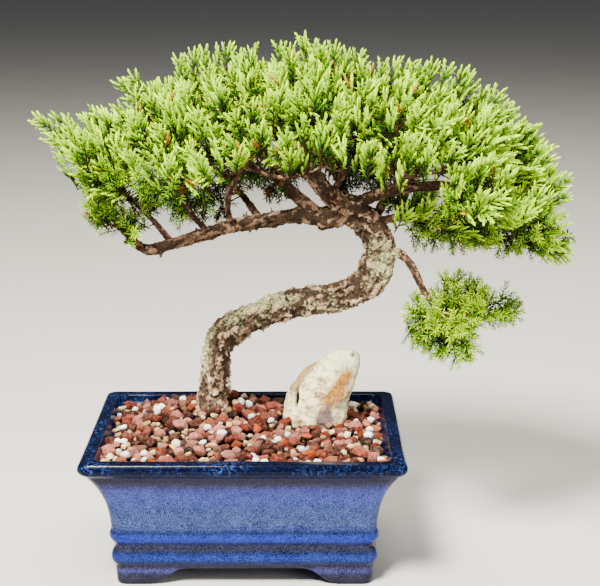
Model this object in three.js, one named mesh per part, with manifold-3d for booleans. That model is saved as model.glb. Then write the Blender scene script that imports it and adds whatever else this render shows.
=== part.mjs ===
// A Japanese garden juniper bonsai in a glazed rectangular pot, with a standing stone in gravel.
//
// Millimetres, +Z up, seen from -Y. Everything is placed about the pot, whose middle is at x = y = 0,
// whose rim is at z = 82 and whose feet stand at z = -7. The last lines shift the whole group so that
// the middle of its footprint is the origin.

import * as THREE from "three";
import { mergeVertices } from "three/addons/utils/BufferGeometryUtils.js";
import Module from "manifold-3d";

const wasm = await Module();
wasm.setup();

// Driving dimensions of the pot: a rectangle of about 8 by 6 inches, 3 1/2 tall.
const POT_WIDTH = 208;
const POT_DEPTH = 156;
const RIM = 82;
const GROUND = -7;
const POT_CORNER = 6.5;
const CORNER_ARCS = 3;
const FOOT_INSET = 20.6;

// The pot's section as [inset from the lip, height] points, from the sole up and over the rim. The
// bulge and hollow points are those that the curves bend towards.
const SECTION = {
  sole: [FOOT_INSET + 1.5, GROUND],
  footEdge: [FOOT_INSET, GROUND + 2],
  lowerBandFoot: [20, 6.5],
  lowerBandBulge: [16.2, 11.5],
  lowerBandTop: [19, 16.5],
  coveHollow: [21.5, 19.5],
  upperBandFoot: [19, 22.5],
  upperBandBulge: [15.6, 27.5],
  wallFoot: [18.2, 31.5],
  wallLean: [17.2, 46],
  wallFlare: [14.5, 58],
  neck: [5.6, 70.5],
  lipRoot: [4, 73.2],
  lipUnderside: [2.6, 73.8],
  lipBulge: [-1.6, 77],
  lipShoulder: [1.6, RIM - 1],
  rimOuter: [2.8, RIM],
  rimInner: [9.2, RIM],
  innerEdge: [10.4, RIM - 2],
  innerFlare: [19, 67],
  innerLean: [24, 52],
};
const CURVE_STEPS = 3;
const INNER_STEPS = 5;
const FLOOR_UNDERSIDE = 4.5;
const FLOOR_TOP = 9.5;
const SKIRT_THICKNESS = 8;
const FOOT_LENGTH = 24;
const FOOT_CURVE = 24;
const DRAIN_RADIUS = 8;
const DRAIN_OFFSET = 44;
const DRAIN_CUT = 15;

// Every piece that rests in or on another keeps this gap to it.
const GAP = 0.35;

// Screens over the drain holes.
const SCREEN_SIDE = 24;
const SCREEN_HOLE = 8.4;
const SCREEN_PITCH = 10.4;
const SCREEN_THICKNESS = 1.6;

// Soil and gravel.
const SOIL_LEVEL = 73.5;
const MOUND_RISE = 9;
const MOUND_REACH = 32;
const GRAVEL_PITCH = 18;
const GRAVEL_JITTER = 1.9;
const GRAVEL_RISE = 5.5;
const GRAVEL_TOP_SHARE = 0.66;

// Tree.
const TRUNK_FOOT = new THREE.Vector2(-25, 33);
const CROWN_MIDDLE = new THREE.Vector3(38, 5, 225);
const CROWN_HALF = new THREE.Vector3(178, 115, 110);
const TUFT_RADIUS = 24;
const CELL_REACH = 130;
const CELL_MARGIN = 0.4;
const HEART_SHARE = 0.52;
const HEART_FLATNESS = 0.6;
const GOLDEN_ANGLE = Math.PI * (3 - Math.sqrt(5));
const UP = new THREE.Vector3(0, 0, 1);

const materials = {
  glaze: new THREE.MeshStandardMaterial({ color: 0x2f4c9c, roughness: 0.2, metalness: 0 }),
  screen: new THREE.MeshStandardMaterial({ color: 0x1c1c1e, roughness: 0.6, metalness: 0 }),
  gravel: new THREE.MeshStandardMaterial({ color: 0x9a5a4c, roughness: 0.95, metalness: 0 }),
  stone: new THREE.MeshStandardMaterial({ color: 0xd8cfb4, roughness: 0.85, metalness: 0 }),
  bark: new THREE.MeshStandardMaterial({ color: 0x7d6656, roughness: 0.9, metalness: 0 }),
  leaf: new THREE.MeshStandardMaterial({ color: 0x86b93c, roughness: 0.6, metalness: 0 }),
};

// Seeded random numbers from 0 to 1 (mulberry32), so that every run places every piece alike.
function seeded(seed) {
  let state = seed;
  return () => {
    state = (state + 0x6d2b79f5) | 0;
    let mixed = Math.imul(state ^ (state >>> 15), 1 | state);
    mixed = (mixed + Math.imul(mixed ^ (mixed >>> 7), 61 | mixed)) ^ mixed;
    return ((mixed ^ (mixed >>> 14)) >>> 0) / 4294967296;
  };
}

// A value between low and high from a draw between 0 and 1.
function between(low, high, draw) {
  return low + (high - low) * draw;
}

// A closed geometry as a solid that can be joined and cut.
function toSolid(geometry) {
  const bare = geometry.clone();
  bare.deleteAttribute("normal");
  bare.deleteAttribute("uv");
  const merged = mergeVertices(bare, 1e-4);
  return new wasm.Manifold(
    new wasm.Mesh({
      numProp: 3,
      vertProperties: new Float32Array(merged.attributes.position.array),
      triVerts: new Uint32Array(merged.index.array),
    }),
  );
}

// A solid back as a geometry.
function toGeometry(solid) {
  const mesh = solid.getMesh();
  const geometry = new THREE.BufferGeometry();
  geometry.setAttribute("position", new THREE.BufferAttribute(new Float32Array(mesh.vertProperties), 3));
  geometry.setIndex(new THREE.BufferAttribute(new Uint32Array(mesh.triVerts), 1));
  geometry.computeVertexNormals();
  return geometry;
}

function join(solids) {
  return wasm.Manifold.union(solids);
}

// The largest body of a solid, without the scraps that a cut leaves loose.
function largest(solid) {
  const bodies = solid.decompose();
  return bodies.reduce((best, body) => (body.volume() > best.volume() ? body : best));
}

// A closed skin over rings of equally many points, each running counter-clockwise about the way they go.
function loft(rings) {
  const count = rings[0].length;
  const points = rings.flat();
  const faces = [];
  for (let ring = 0; ring < rings.length - 1; ring++) {
    for (let i = 0; i < count; i++) {
      const near = ring * count + i;
      const nearNext = ring * count + ((i + 1) % count);
      faces.push(near, nearNext, nearNext + count);
      faces.push(near, nearNext + count, near + count);
    }
  }
  const middleOf = (ring) => ring.reduce((sum, p) => sum.add(p), new THREE.Vector3()).divideScalar(count);
  const first = points.push(middleOf(rings[0])) - 1;
  const last = points.push(middleOf(rings.at(-1))) - 1;
  const lastRing = (rings.length - 1) * count;
  for (let i = 0; i < count; i++) {
    const next = (i + 1) % count;
    faces.push(first, next, i);
    faces.push(last, lastRing + i, lastRing + next);
  }
  const geometry = new THREE.BufferGeometry().setFromPoints(points);
  geometry.setIndex(faces);
  return geometry;
}

// A level ring of points round a rectangle with rounded corners.
function rectangleRing(halfWidth, halfDepth, corner, z) {
  const ring = [];
  const signs = [[1, 1], [-1, 1], [-1, -1], [1, -1]];
  signs.forEach(([sx, sy], quarter) => {
    for (let step = 0; step <= CORNER_ARCS; step++) {
      const angle = (quarter + step / CORNER_ARCS) * (Math.PI / 2);
      const x = sx * (halfWidth - corner) + corner * Math.cos(angle);
      const y = sy * (halfDepth - corner) + corner * Math.sin(angle);
      ring.push(new THREE.Vector3(x, y, z));
    }
  });
  return ring;
}

// A profile of (inset from the rim, height) points swept round the pot's rectangle.
function sweepRound(profile, corner) {
  return profile.map(({ x: inset, y: z }) =>
    rectangleRing(POT_WIDTH / 2 - inset, POT_DEPTH / 2 - inset, corner, z),
  );
}

// The pot's outside, from its sole to the rim: foot, two torus bands with a cove between them, the
// flared wall and the rolled lip.
function outsideProfile() {
  const path = new THREE.Path();
  path.moveTo(...SECTION.sole);
  path.lineTo(...SECTION.footEdge);
  path.lineTo(...SECTION.lowerBandFoot);
  path.quadraticCurveTo(...SECTION.lowerBandBulge, ...SECTION.lowerBandTop);
  path.quadraticCurveTo(...SECTION.coveHollow, ...SECTION.upperBandFoot);
  path.quadraticCurveTo(...SECTION.upperBandBulge, ...SECTION.wallFoot);
  path.bezierCurveTo(...SECTION.wallLean, ...SECTION.wallFlare, ...SECTION.neck);
  path.quadraticCurveTo(...SECTION.lipRoot, ...SECTION.lipUnderside);
  path.quadraticCurveTo(...SECTION.lipBulge, ...SECTION.lipShoulder);
  path.lineTo(...SECTION.rimOuter);
  path.lineTo(...SECTION.rimInner);
  return path.getPoints(CURVE_STEPS);
}

// The pot's inner wall, from just under the rim down to the floor.
function insideWall() {
  const path = new THREE.Path();
  path.moveTo(...SECTION.innerEdge);
  path.bezierCurveTo(...SECTION.innerFlare, ...SECTION.innerLean, FOOT_INSET + 4, FLOOR_TOP);
  return path.getPoints(INNER_STEPS);
}

// An arch that leaves a foot with an ogee flank at each end of a side as long as length.
function footArch(length, run) {
  const half = length / 2 - FOOT_LENGTH;
  const top = FLOOR_UNDERSIDE - 0.2;
  const shape = new THREE.Shape();
  const low = GROUND + 1;
  const flat = half - FOOT_CURVE;
  shape.moveTo(-half, GROUND - 1);
  shape.lineTo(half, GROUND - 1);
  shape.lineTo(half, low);
  shape.bezierCurveTo(half - FOOT_CURVE * 0.5, low + 1, half - FOOT_CURVE * 0.4, top, flat, top);
  shape.lineTo(-flat, top);
  shape.bezierCurveTo(FOOT_CURVE * 0.4 - half, top, FOOT_CURVE * 0.5 - half, low + 1, -half, low);
  const arch = new THREE.ExtrudeGeometry(shape, { depth: run, bevelEnabled: false, curveSegments: 5 });
  arch.translate(0, 0, -run / 2);
  arch.rotateX(Math.PI / 2);
  return arch;
}

function drainHole(side) {
  const hole = new THREE.CylinderGeometry(DRAIN_RADIUS, DRAIN_RADIUS, DRAIN_CUT, 14);
  hole.rotateX(Math.PI / 2);
  hole.translate(side * DRAIN_OFFSET, 0, FLOOR_TOP - 2);
  return toSolid(hole);
}

// Stoneware, cast and fired as one piece: the walls, four corner feet and two drain holes.
function potSolid() {
  const rings = sweepRound([...outsideProfile(), ...insideWall()], POT_CORNER);
  const skirtInset = FOOT_INSET + SKIRT_THICKNESS;
  const recessSize = [POT_WIDTH / 2 - skirtInset, POT_DEPTH / 2 - skirtInset, POT_CORNER / 2];
  const recessLow = rectangleRing(...recessSize, GROUND - 1);
  const recess = loft([recessLow, rectangleRing(...recessSize, FLOOR_UNDERSIDE)]);
  const widthArch = footArch(POT_WIDTH - 2 * FOOT_INSET, POT_DEPTH);
  const depthArch = footArch(POT_DEPTH - 2 * FOOT_INSET, POT_WIDTH);
  depthArch.rotateZ(Math.PI / 2);
  return toSolid(loft(rings))
    .subtract(toSolid(recess))
    .subtract(toSolid(widthArch))
    .subtract(toSolid(depthArch))
    .subtract(drainHole(-1))
    .subtract(drainHole(1));
}

// A square of plastic mesh that keeps the soil in over a drain hole.
function screenSolid(side) {
  const middle = FLOOR_TOP + GAP + SCREEN_THICKNESS / 2;
  const sheet = new THREE.BoxGeometry(SCREEN_SIDE, SCREEN_SIDE, SCREEN_THICKNESS);
  sheet.translate(side * DRAIN_OFFSET, 0, middle);
  const holes = [];
  for (const column of [-0.5, 0.5]) {
    for (const row of [-0.5, 0.5]) {
      const hole = new THREE.BoxGeometry(SCREEN_HOLE, SCREEN_HOLE, 2 * SCREEN_THICKNESS);
      hole.translate(side * DRAIN_OFFSET + column * SCREEN_PITCH, row * SCREEN_PITCH, middle);
      holes.push(toSolid(hole));
    }
  }
  return toSolid(sheet).subtract(join(holes));
}

// Limbs of the tree, each a path of [x, y, z, radius]. Where into names a tuft of foliage, the limb
// goes on to that tuft's middle. The trunk leans away from its foot in one long slant, turns up and
// back at the right, and forks into the crown.
const limbs = [
  {
    name: "trunk",
    sides: 9,
    steps: 21,
    rough: 0.09,
    path: [
      [-28, 34, 52, 4], [-26, 33.5, 72, 9], [-25, 33, 88, 9.4], [-22.5, 33, 104, 9], [-21, 32, 122, 8.6],
      [-16, 30, 138, 9.4], [-5, 27, 148, 8.8], [9, 24, 154.5, 8.4], [27, 21, 161.5, 8.6], [48, 18, 166, 8.4],
      [64, 15, 170, 8.8], [79, 12, 176, 9.2], [88, 10, 187, 8.6], [90, 9, 198, 8.3], [87, 8, 210, 9],
      [80, 8, 219, 9.2], [70, 8, 227, 8.4],
    ],
  },
  {
    name: "long left limb",
    sides: 6,
    steps: 12,
    rough: 0.06,
    into: "left_end",
    path: [
      [74, 8, 226, 7], [62, 7, 224, 7], [51, 6, 221.5, 7.2], [36, 4, 223.5, 5.2], [10, 0, 220.5, 4.9],
      [-12, -4, 217, 4.5], [-28, -8, 213, 4.1], [-47, -12, 208, 3.7], [-62, -14, 204.5, 4],
      [-69, -15, 210, 2.9], [-76, -16, 218, 2.3], [-86, -16, 230, 2],
    ],
  },
  {
    name: "centre limb",
    sides: 6,
    steps: 8,
    rough: 0.05,
    into: "ridge_4",
    path: [[70, 8, 225, 5.6], [52, 2, 243, 4.9], [41, -6, 259, 4.1], [36, -10, 272, 3.2], [32, -6, 290, 2.4]],
  },
  {
    name: "fork of the centre limb",
    sides: 4,
    steps: 4,
    rough: 0,
    into: "front_4",
    path: [[38, -8, 264, 2.6], [46, -18, 270, 2.2], [50, -26, 282, 1.8]],
  },
  {
    name: "back left limb",
    sides: 6,
    steps: 6,
    rough: 0.05,
    into: "back_2",
    path: [[46, 5, 226, 4.4], [37, 8, 235.5, 3.7], [29, 14, 242, 3.2], [21, 22, 252, 2.7], [0, 34, 266, 2.1]],
  },
  {
    name: "right limb",
    sides: 6,
    steps: 8,
    rough: 0.05,
    into: "ridge_7",
    path: [
      [68, 8, 227, 5.2], [77, 6, 234, 4.5], [91, 0, 240.5, 4], [105, -6, 245, 3.8], [121, -10, 246.5, 3.6],
      [137, -10, 247, 3], [152, -4, 256, 2.2],
    ],
  },
  {
    name: "sagging twig above the right limb",
    sides: 4,
    steps: 6,
    rough: 0,
    into: "front_6",
    path: [
      [56, 2, 239, 2.6], [70, -18, 262, 2.2], [88, -34, 267, 2], [106, -40, 261, 1.9], [124, -42, 262, 1.8],
    ],
  },
  {
    name: "low right limb",
    sides: 5,
    steps: 7,
    rough: 0.04,
    into: "right_end",
    path: [
      [82, 9, 219, 3.4], [103, 6, 223, 2.7], [116, 2, 223.5, 2.4], [129, 0, 217, 2.2], [142, 4, 210, 2],
      [155, 4, 207, 1.9], [172, 0, 210, 1.7],
    ],
  },
  {
    name: "back right limb",
    sides: 5,
    steps: 5,
    rough: 0.04,
    into: "back_6",
    path: [[82, 9, 217, 3.8], [94, 28, 232, 3], [112, 42, 248, 2.4]],
  },
  {
    name: "back limb",
    sides: 5,
    steps: 5,
    rough: 0.04,
    into: "rearmost_3",
    path: [[70, 10, 226, 3.8], [62, 36, 242, 3], [56, 58, 254, 2.4]],
  },
  {
    name: "left back twig",
    sides: 4,
    steps: 4,
    rough: 0,
    into: "rearmost_1",
    path: [[12, 0, 220, 3], [0, 22, 232, 2.5], [-18, 46, 246, 2.1]],
  },
  {
    name: "first riser of the left limb",
    sides: 4,
    steps: 3,
    rough: 0,
    into: "foremost_2",
    path: [[-8, -3, 217, 2.4], [-10, -12, 232, 2.1], [-6, -36, 250, 1.8]],
  },
  {
    name: "second riser of the left limb",
    sides: 4,
    steps: 3,
    rough: 0,
    into: "front_2",
    path: [[-22, -6, 214, 2.4], [-34, -14, 230, 2.1], [-42, -24, 250, 1.8]],
  },
  {
    name: "third riser of the left limb",
    sides: 4,
    steps: 3,
    rough: 0,
    into: "ridge_1",
    path: [[-46, -11, 209, 2.4], [-60, -10, 226, 2.1], [-84, -2, 248, 1.7]],
  },
  {
    name: "hanging limb",
    sides: 5,
    steps: 7,
    rough: 0.06,
    into: "clump_far",
    path: [
      [86, 8, 200, 3.6], [97, 6, 200, 2.9], [104, 2, 196.5, 2.5], [109, -3, 190, 2.4], [114, -8, 180, 2.2],
      [126, -13, 166, 1.9], [140, -14, 162, 1.6],
    ],
  },
  {
    name: "root to the left",
    sides: 4,
    steps: 2,
    rough: 0,
    path: [[-24, 33, 93, 5], [-35, 29, 79, 4], [-40, 26, 60, 2]],
  },
  {
    name: "root to the front",
    sides: 4,
    steps: 2,
    rough: 0,
    path: [[-25, 33, 93, 5], [-16, 26, 79, 4], [-12, 22, 60, 2]],
  },
  {
    name: "root to the back",
    sides: 4,
    steps: 2,
    rough: 0,
    path: [[-25, 32, 93, 5], [-24, 43, 79, 4], [-22, 48, 60, 2]],
  },
];
const TWIG_END_RADIUS = 1.05;

// Swollen places where limbs meet or were cut, each [x, y, z, radius].
const knobs = [[70, 8, 226, 10.5], [52, 5, 218.5, 7], [-25, 33, 86, 11.5]];

function limbCurve(path) {
  const points = path.map(([x, y, z]) => new THREE.Vector3(x, y, z));
  return new THREE.CatmullRomCurve3(points, false, "centripetal");
}

// The radius of a limb at a share of its path.
function limbRadius(path, share) {
  const place = share * (path.length - 1);
  const before = Math.min(Math.floor(place), path.length - 2);
  return between(path[before][3], path[before + 1][3], place - before);
}

// One limb: rings across its path, turned from each to the next without twist. The bark's ridges
// swell and shrink the radius by the share called rough, and grow adds clearance all round.
function limbSolid({ path, sides, steps, rough }, grow) {
  const curve = limbCurve(path);
  const normal = new THREE.Vector3();
  const rings = [];
  let ahead = curve.getTangent(0);
  normal.crossVectors(ahead, Math.abs(ahead.y) < 0.9 ? new THREE.Vector3(0, 1, 0) : UP).normalize();
  for (let step = 0; step <= steps; step++) {
    const share = step / steps;
    const tangent = curve.getTangent(share);
    normal.applyQuaternion(new THREE.Quaternion().setFromUnitVectors(ahead, tangent));
    ahead = tangent;
    const side = new THREE.Vector3().crossVectors(tangent, normal);
    const centre = curve.getPoint(share);
    const ring = [];
    for (let i = 0; i < sides; i++) {
      const angle = (i / sides) * 2 * Math.PI;
      const ridge = 1 + rough * Math.sin(3 * angle + step) + rough * Math.sin(5 * angle - 2.3 * step);
      const radius = limbRadius(path, share) * ridge + grow;
      const point = centre.clone();
      point.addScaledVector(normal, radius * Math.cos(angle));
      point.addScaledVector(side, radius * Math.sin(angle));
      ring.push(point);
    }
    rings.push(ring);
  }
  return toSolid(loft(rings));
}

function knobSolid([x, y, z, radius], grow) {
  const knob = new THREE.IcosahedronGeometry(radius + grow, 0);
  knob.translate(x, y, z);
  return toSolid(knob);
}

// Tufts of foliage. The crown's line along x gives the height of the tufts' middles at the ridge, and
// the rows fall away from it to the front and the back.
const crownLine = [
  [-140, 272], [-104, 273], [-68, 286], [-28, 302], [16, 313], [60, 303], [104, 297], [148, 285], [180, 260],
  [200, 238],
];
const crownRows = [
  { name: "foremost", y: -70, drop: 38, columns: [-42, 6, 54, 102, 146] },
  { name: "front", y: -33, drop: 12, columns: [-88, -46, 0, 46, 94, 140] },
  { name: "ridge", y: 6, drop: 0, columns: [-104, -66, -22, 24, 70, 116, 158] },
  { name: "back", y: 46, drop: 16, columns: [-84, -46, 0, 46, 92, 138] },
  { name: "rearmost", y: 84, drop: 44, columns: [-34, 10, 56, 102] },
];
const TUFT_WANDER = 4;

// Tufts below the crown's line, [name, x, y, z, radius]: the drooping ends and the hanging clump.
const lowTufts = [
  ["left_end", -98, -16, 244, 22],
  ["left_droop", -78, -28, 224, 18],
  ["right_end", 184, -8, 226, 23],
  ["right_tip", 184, 26, 250, 22],
  ["right_low", 150, -20, 230, 21],
  ["right_under", 118, 8, 229, 20],
  ["right_back", 152, 42, 222, 22],
  ["clump_near", 114, -14, 160, 18],
  ["clump_top", 138, -4, 175, 16],
  ["clump_far", 160, -14, 165, 18],
  ["clump_low", 137, -20, 147, 18],
];

function crownHeight(x) {
  const next = crownLine.findIndex(([lineX]) => lineX >= x);
  const [[x0, z0], [x1, z1]] = [crownLine[next - 1], crownLine[next]];
  return between(z0, z1, (x - x0) / (x1 - x0));
}

// Every tuft with its middle, radius and the way its shoots lean: away from the crown's middle.
function tuftList() {
  const draw = seeded(11);
  const tufts = [];
  const add = (name, middle, radius, young) => {
    const lean = middle.clone().sub(CROWN_MIDDLE).divide(CROWN_HALF);
    lean.z = Math.max(lean.z, 0.05);
    tufts.push({ name: `foliage_${name}`, middle, radius, young, lean: lean.normalize() });
  };
  for (const { name, y, drop, columns } of crownRows) {
    columns.forEach((column, index) => {
      const x = column + between(-TUFT_WANDER, TUFT_WANDER, draw());
      const wander = between(-TUFT_WANDER, TUFT_WANDER, draw());
      const z = crownHeight(x) - drop + between(-TUFT_WANDER, TUFT_WANDER, draw());
      add(`${name}_${index + 1}`, new THREE.Vector3(x, y + wander, z), TUFT_RADIUS, false);
    });
  }
  for (const [name, x, y, z, radius] of lowTufts) {
    add(name, new THREE.Vector3(x, y, z), radius, name.startsWith("clump"));
  }
  const clumpMiddle = new THREE.Vector3(136, -10, 162);
  for (const tuft of tufts.filter(({ young }) => young)) {
    tuft.lean.subVectors(tuft.middle, clumpMiddle).normalize();
  }
  return tufts;
}

// Planes halfway between a tuft and its neighbours. What stays behind all of them meets no neighbour.
function cellPlanes(tuft, tufts) {
  return tufts
    .filter((other) => other !== tuft && other.middle.distanceTo(tuft.middle) < CELL_REACH)
    .map((other) => {
      const away = other.middle.clone().sub(tuft.middle);
      const share = 0.5 + (tuft.radius ** 2 - other.radius ** 2) / (2 * away.lengthSq());
      const point = tuft.middle.clone().addScaledVector(away, share);
      return new THREE.Plane().setFromNormalAndCoplanarPoint(away.normalize(), point);
    });
}

// The way that a tuft's heart is flattened.
function heartAxis(tuft) {
  return tuft.lean.clone().add(UP).normalize();
}

// The heart of a tuft, that its sprays stand out of: an uneven flattened ball.
function heartGeometry(tuft, draw) {
  const ball = new THREE.IcosahedronGeometry(1, 0);
  ball.deleteAttribute("normal");
  ball.deleteAttribute("uv");
  const heart = mergeVertices(ball, 1e-4);
  const tilt = new THREE.Quaternion().setFromUnitVectors(UP, heartAxis(tuft));
  const position = heart.attributes.position;
  for (let i = 0; i < position.count; i++) {
    const way = new THREE.Vector3().fromBufferAttribute(position, i);
    way.z *= HEART_FLATNESS;
    way.multiplyScalar(tuft.radius * HEART_SHARE * between(0.85, 1.1, draw()));
    way.applyQuaternion(tilt).add(tuft.middle);
    position.setXYZ(i, way.x, way.y, way.z);
  }
  return heart;
}

// A way turned by tilt off an axis, and by turn round it.
function tilted(axis, tilt, turn) {
  const across = new THREE.Vector3(-axis.y, axis.x, 0.01).cross(axis).normalize();
  across.applyAxisAngle(axis, turn);
  return axis.clone().multiplyScalar(Math.cos(tilt)).addScaledVector(across, Math.sin(tilt)).normalize();
}

// The points of a leafy shoot: stem rings of three points, each ring turned a sixth from the one
// before, the stem's tip, and a whorl of three needles that rises above each ring but the first.
function sprayPoints(root, way, bare, turn, form, scale) {
  const side = new THREE.Vector3(-way.y, way.x, 0.01).cross(way).normalize();
  const at = (along, out, angle) => {
    const across = side.clone().applyAxisAngle(way, angle);
    return root.clone().addScaledVector(way, along).addScaledVector(across, out);
  };
  const sixth = Math.PI / 3;
  const pitch = form.pitch * scale;
  const needle = form.needle * scale;
  const rings = [0, 1, 2].map((i) => at(0, form.radius, turn + (2 * i - 1) * sixth));
  const needles = [];
  for (let whorl = 0; whorl <= form.whorls; whorl++) {
    const along = bare + whorl * pitch;
    const radius = form.radius * (1 - (0.5 * whorl) / form.whorls);
    for (let i = 0; i < 3; i++) {
      const angle = turn + (whorl + 2 * i) * sixth;
      rings.push(at(along, radius, angle));
      if (whorl < form.whorls) {
        const forward = along + 0.4 * pitch + needle * Math.cos(form.spread);
        needles.push(at(forward, 0.5 * radius + needle * Math.sin(form.spread), angle + sixth));
      }
    }
  }
  return { rings, needles, tip: at(bare + form.whorls * pitch + needle, 0, 0) };
}

// A spray as a closed solid.
function spraySolid({ rings, needles, tip }) {
  const points = [...rings, ...needles, tip];
  const faces = [2, 1, 0];
  for (let low = 0; low < rings.length - 3; low++) {
    const lowNext = low % 3 === 2 ? low - 2 : low + 1;
    if (low < 3) {
      faces.push(low, lowNext, low + 3);
    } else {
      const needle = rings.length + low - 3;
      faces.push(low, lowNext, needle, lowNext, low + 3, needle, low + 3, low, needle);
    }
    faces.push(lowNext, lowNext + 3, low + 3);
  }
  const top = rings.length - 3;
  const last = points.length - 1;
  faces.push(top, top + 1, last, top + 1, top + 2, last, top + 2, top, last);
  const geometry = new THREE.BufferGeometry().setFromPoints(points);
  geometry.setIndex(faces);
  return toSolid(geometry);
}

const matureSpray = { sprays: 5, widest: 1.6, whorls: 2, pitch: 8, radius: 2.2, needle: 11.5, spread: 0.75 };
const youngSpray = { sprays: 5, widest: 2.3, whorls: 2, pitch: 5, radius: 1.4, needle: 8.5, spread: 0.8 };
const SPRAY_SCALES = [1, 0.88, 0.76, 0.66, 0.57];
const SPRAY_TURNS = [0, 0.35, -0.35, 0.7, -0.7];

// A tuft: its heart with sprays standing out of it, spread evenly about the way it leans. Each spray
// is turned aside, and after that made shorter, until it stays within the tuft's cell.
function tuftSolid(tuft, tufts, index) {
  const draw = seeded(100 + index);
  const planes = cellPlanes(tuft, tufts);
  const isInside = (point) => planes.every((plane) => plane.distanceToPoint(point) < -CELL_MARGIN);
  const form = tuft.young ? youngSpray : matureSpray;
  const axis = tuft.lean.clone().addScaledVector(UP, tuft.young ? 0.1 : 0.35).normalize();
  const sprayAt = (tilt, azimuth, turn, scale) => {
    const way = tilted(axis, tilt, azimuth);
    const rise = way.dot(heartAxis(tuft));
    const skin = (tuft.radius * HEART_SHARE) / Math.sqrt(1 - rise ** 2 + (rise / HEART_FLATNESS) ** 2);
    const root = tuft.middle.clone().addScaledVector(way, 0.5 * skin);
    const points = sprayPoints(root, way, 0.5 * skin + 1, turn, form, scale);
    return [...points.rings, ...points.needles, points.tip].every(isInside) ? spraySolid(points) : null;
  };
  const pieces = [toSolid(heartGeometry(tuft, draw))];
  for (let k = 0; k < form.sprays; k++) {
    const tilt = form.widest * Math.sqrt((k + 0.5) / form.sprays);
    const azimuth = k * GOLDEN_ANGLE + draw();
    const turn = draw() * Math.PI;
    const tries = SPRAY_SCALES.flatMap((scale) => SPRAY_TURNS.map((aside) => [azimuth + aside, scale]));
    let spray = null;
    while (!spray && tries.length) {
      const [tried, scale] = tries.shift();
      spray = sprayAt(tilt, tried, turn, scale);
    }
    if (spray) {
      pieces.push(spray);
    }
  }
  return join(pieces);
}

// Limbs that carry a tuft, led on to the tuft's middle.
function ledLimbs(tufts) {
  return limbs.map((limb) => {
    const tuft = tufts.find(({ name }) => name === `foliage_${limb.into}`);
    if (!tuft) {
      return limb;
    }
    return { ...limb, path: [...limb.path, [...tuft.middle.toArray(), TWIG_END_RADIUS]] };
  });
}

// A twig for each tuft that no limb carries, from the nearest wood below it into its heart, nearest
// tufts first, so that later twigs fork from earlier ones.
function twigsFor(tufts) {
  const woody = ledLimbs(tufts).filter(({ name }) => name !== "trunk" && !name.startsWith("root"));
  const buds = woody.flatMap(({ path }) => limbCurve(path).getPoints(24).slice(4, 22));
  const costOf = (bud, tuft) => bud.distanceTo(tuft.middle) + 2 * Math.max(0, bud.z - tuft.middle.z);
  const nearest = (tuft) => buds.reduce((best, bud) => (costOf(bud, tuft) < costOf(best, tuft) ? bud : best));
  const carried = new Set(limbs.map(({ into }) => `foliage_${into}`));
  const waiting = tufts.filter(({ name }) => !carried.has(name));
  const twigs = [];
  while (waiting.length) {
    waiting.sort((a, b) => costOf(nearest(a), a) - costOf(nearest(b), b));
    const tuft = waiting.shift();
    const start = nearest(tuft);
    const end = tuft.middle;
    const length = start.distanceTo(end);
    const bend = start.clone().lerp(end, 0.5).addScaledVector(UP, -0.14 * length);
    const path = [[...start.toArray(), 1.6], [...bend.toArray(), 1.5], [...end.toArray(), TWIG_END_RADIUS]];
    twigs.push({ path, sides: 3, steps: 2, rough: 0 });
    buds.push(...limbCurve(path).getPoints(8).slice(2, 7));
  }
  return twigs;
}

// The wood, grown as one piece. With grow above 0 it is the clearance that the wood needs.
function treeSolid(branches, grow) {
  const wood = branches.map((branch) => limbSolid(branch, grow));
  return join([...wood, ...knobs.map((knob) => knobSolid(knob, grow))]);
}

// A standing stone with its foot in the gravel: level rings [height, left, right, half thickness].
const stoneRings = [
  [64, 30, 62, 9], [72, 26, 66, 12], [82, 24.5, 68, 14], [94, 26, 70, 14], [103, 31, 72, 12.5],
  [112, 38, 74, 10.5], [119, 47, 75.3, 8.5], [124, 56, 75.5, 6], [126.5, 61, 73, 3],
];
const STONE_Y = 24;
const STONE_SIDES = 14;

function stoneSolid(grow) {
  const rings = stoneRings.map(([z, left, right, thick], level) => {
    const ring = [];
    for (let i = 0; i < STONE_SIDES; i++) {
      const angle = (i / STONE_SIDES) * 2 * Math.PI;
      const chip = 1 + 0.05 * Math.sin(4.1 * angle + level * 1.7) + 0.03 * Math.sin(9 * angle - level);
      const x = (left + right) / 2 + ((right - left) / 2 + grow) * Math.cos(angle);
      const y = STONE_Y + (thick * chip + grow) * Math.sin(angle);
      ring.push(new THREE.Vector3(x, y, z));
    }
    return ring;
  });
  return toSolid(loft(rings));
}

// The height of the soil: level, with a mound round the foot of the trunk.
function soilHeight(x, y) {
  const away = new THREE.Vector2(x, y).distanceTo(TRUNK_FOOT) / MOUND_REACH;
  return SOIL_LEVEL + MOUND_RISE * Math.exp(-(away ** 2) / 2);
}

// The room inside the pot's wall, less the gap, up to well above the rim.
function potRoom() {
  const wall = insideWall().reverse();
  wall[0].y += GAP;
  const above = new THREE.Vector2(wall.at(-1).x, RIM + 30);
  const profile = [...wall, above].map(({ x, y }) => new THREE.Vector2(x + GAP, y));
  return toSolid(loft(sweepRound(profile, POT_CORNER - GAP)));
}

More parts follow.
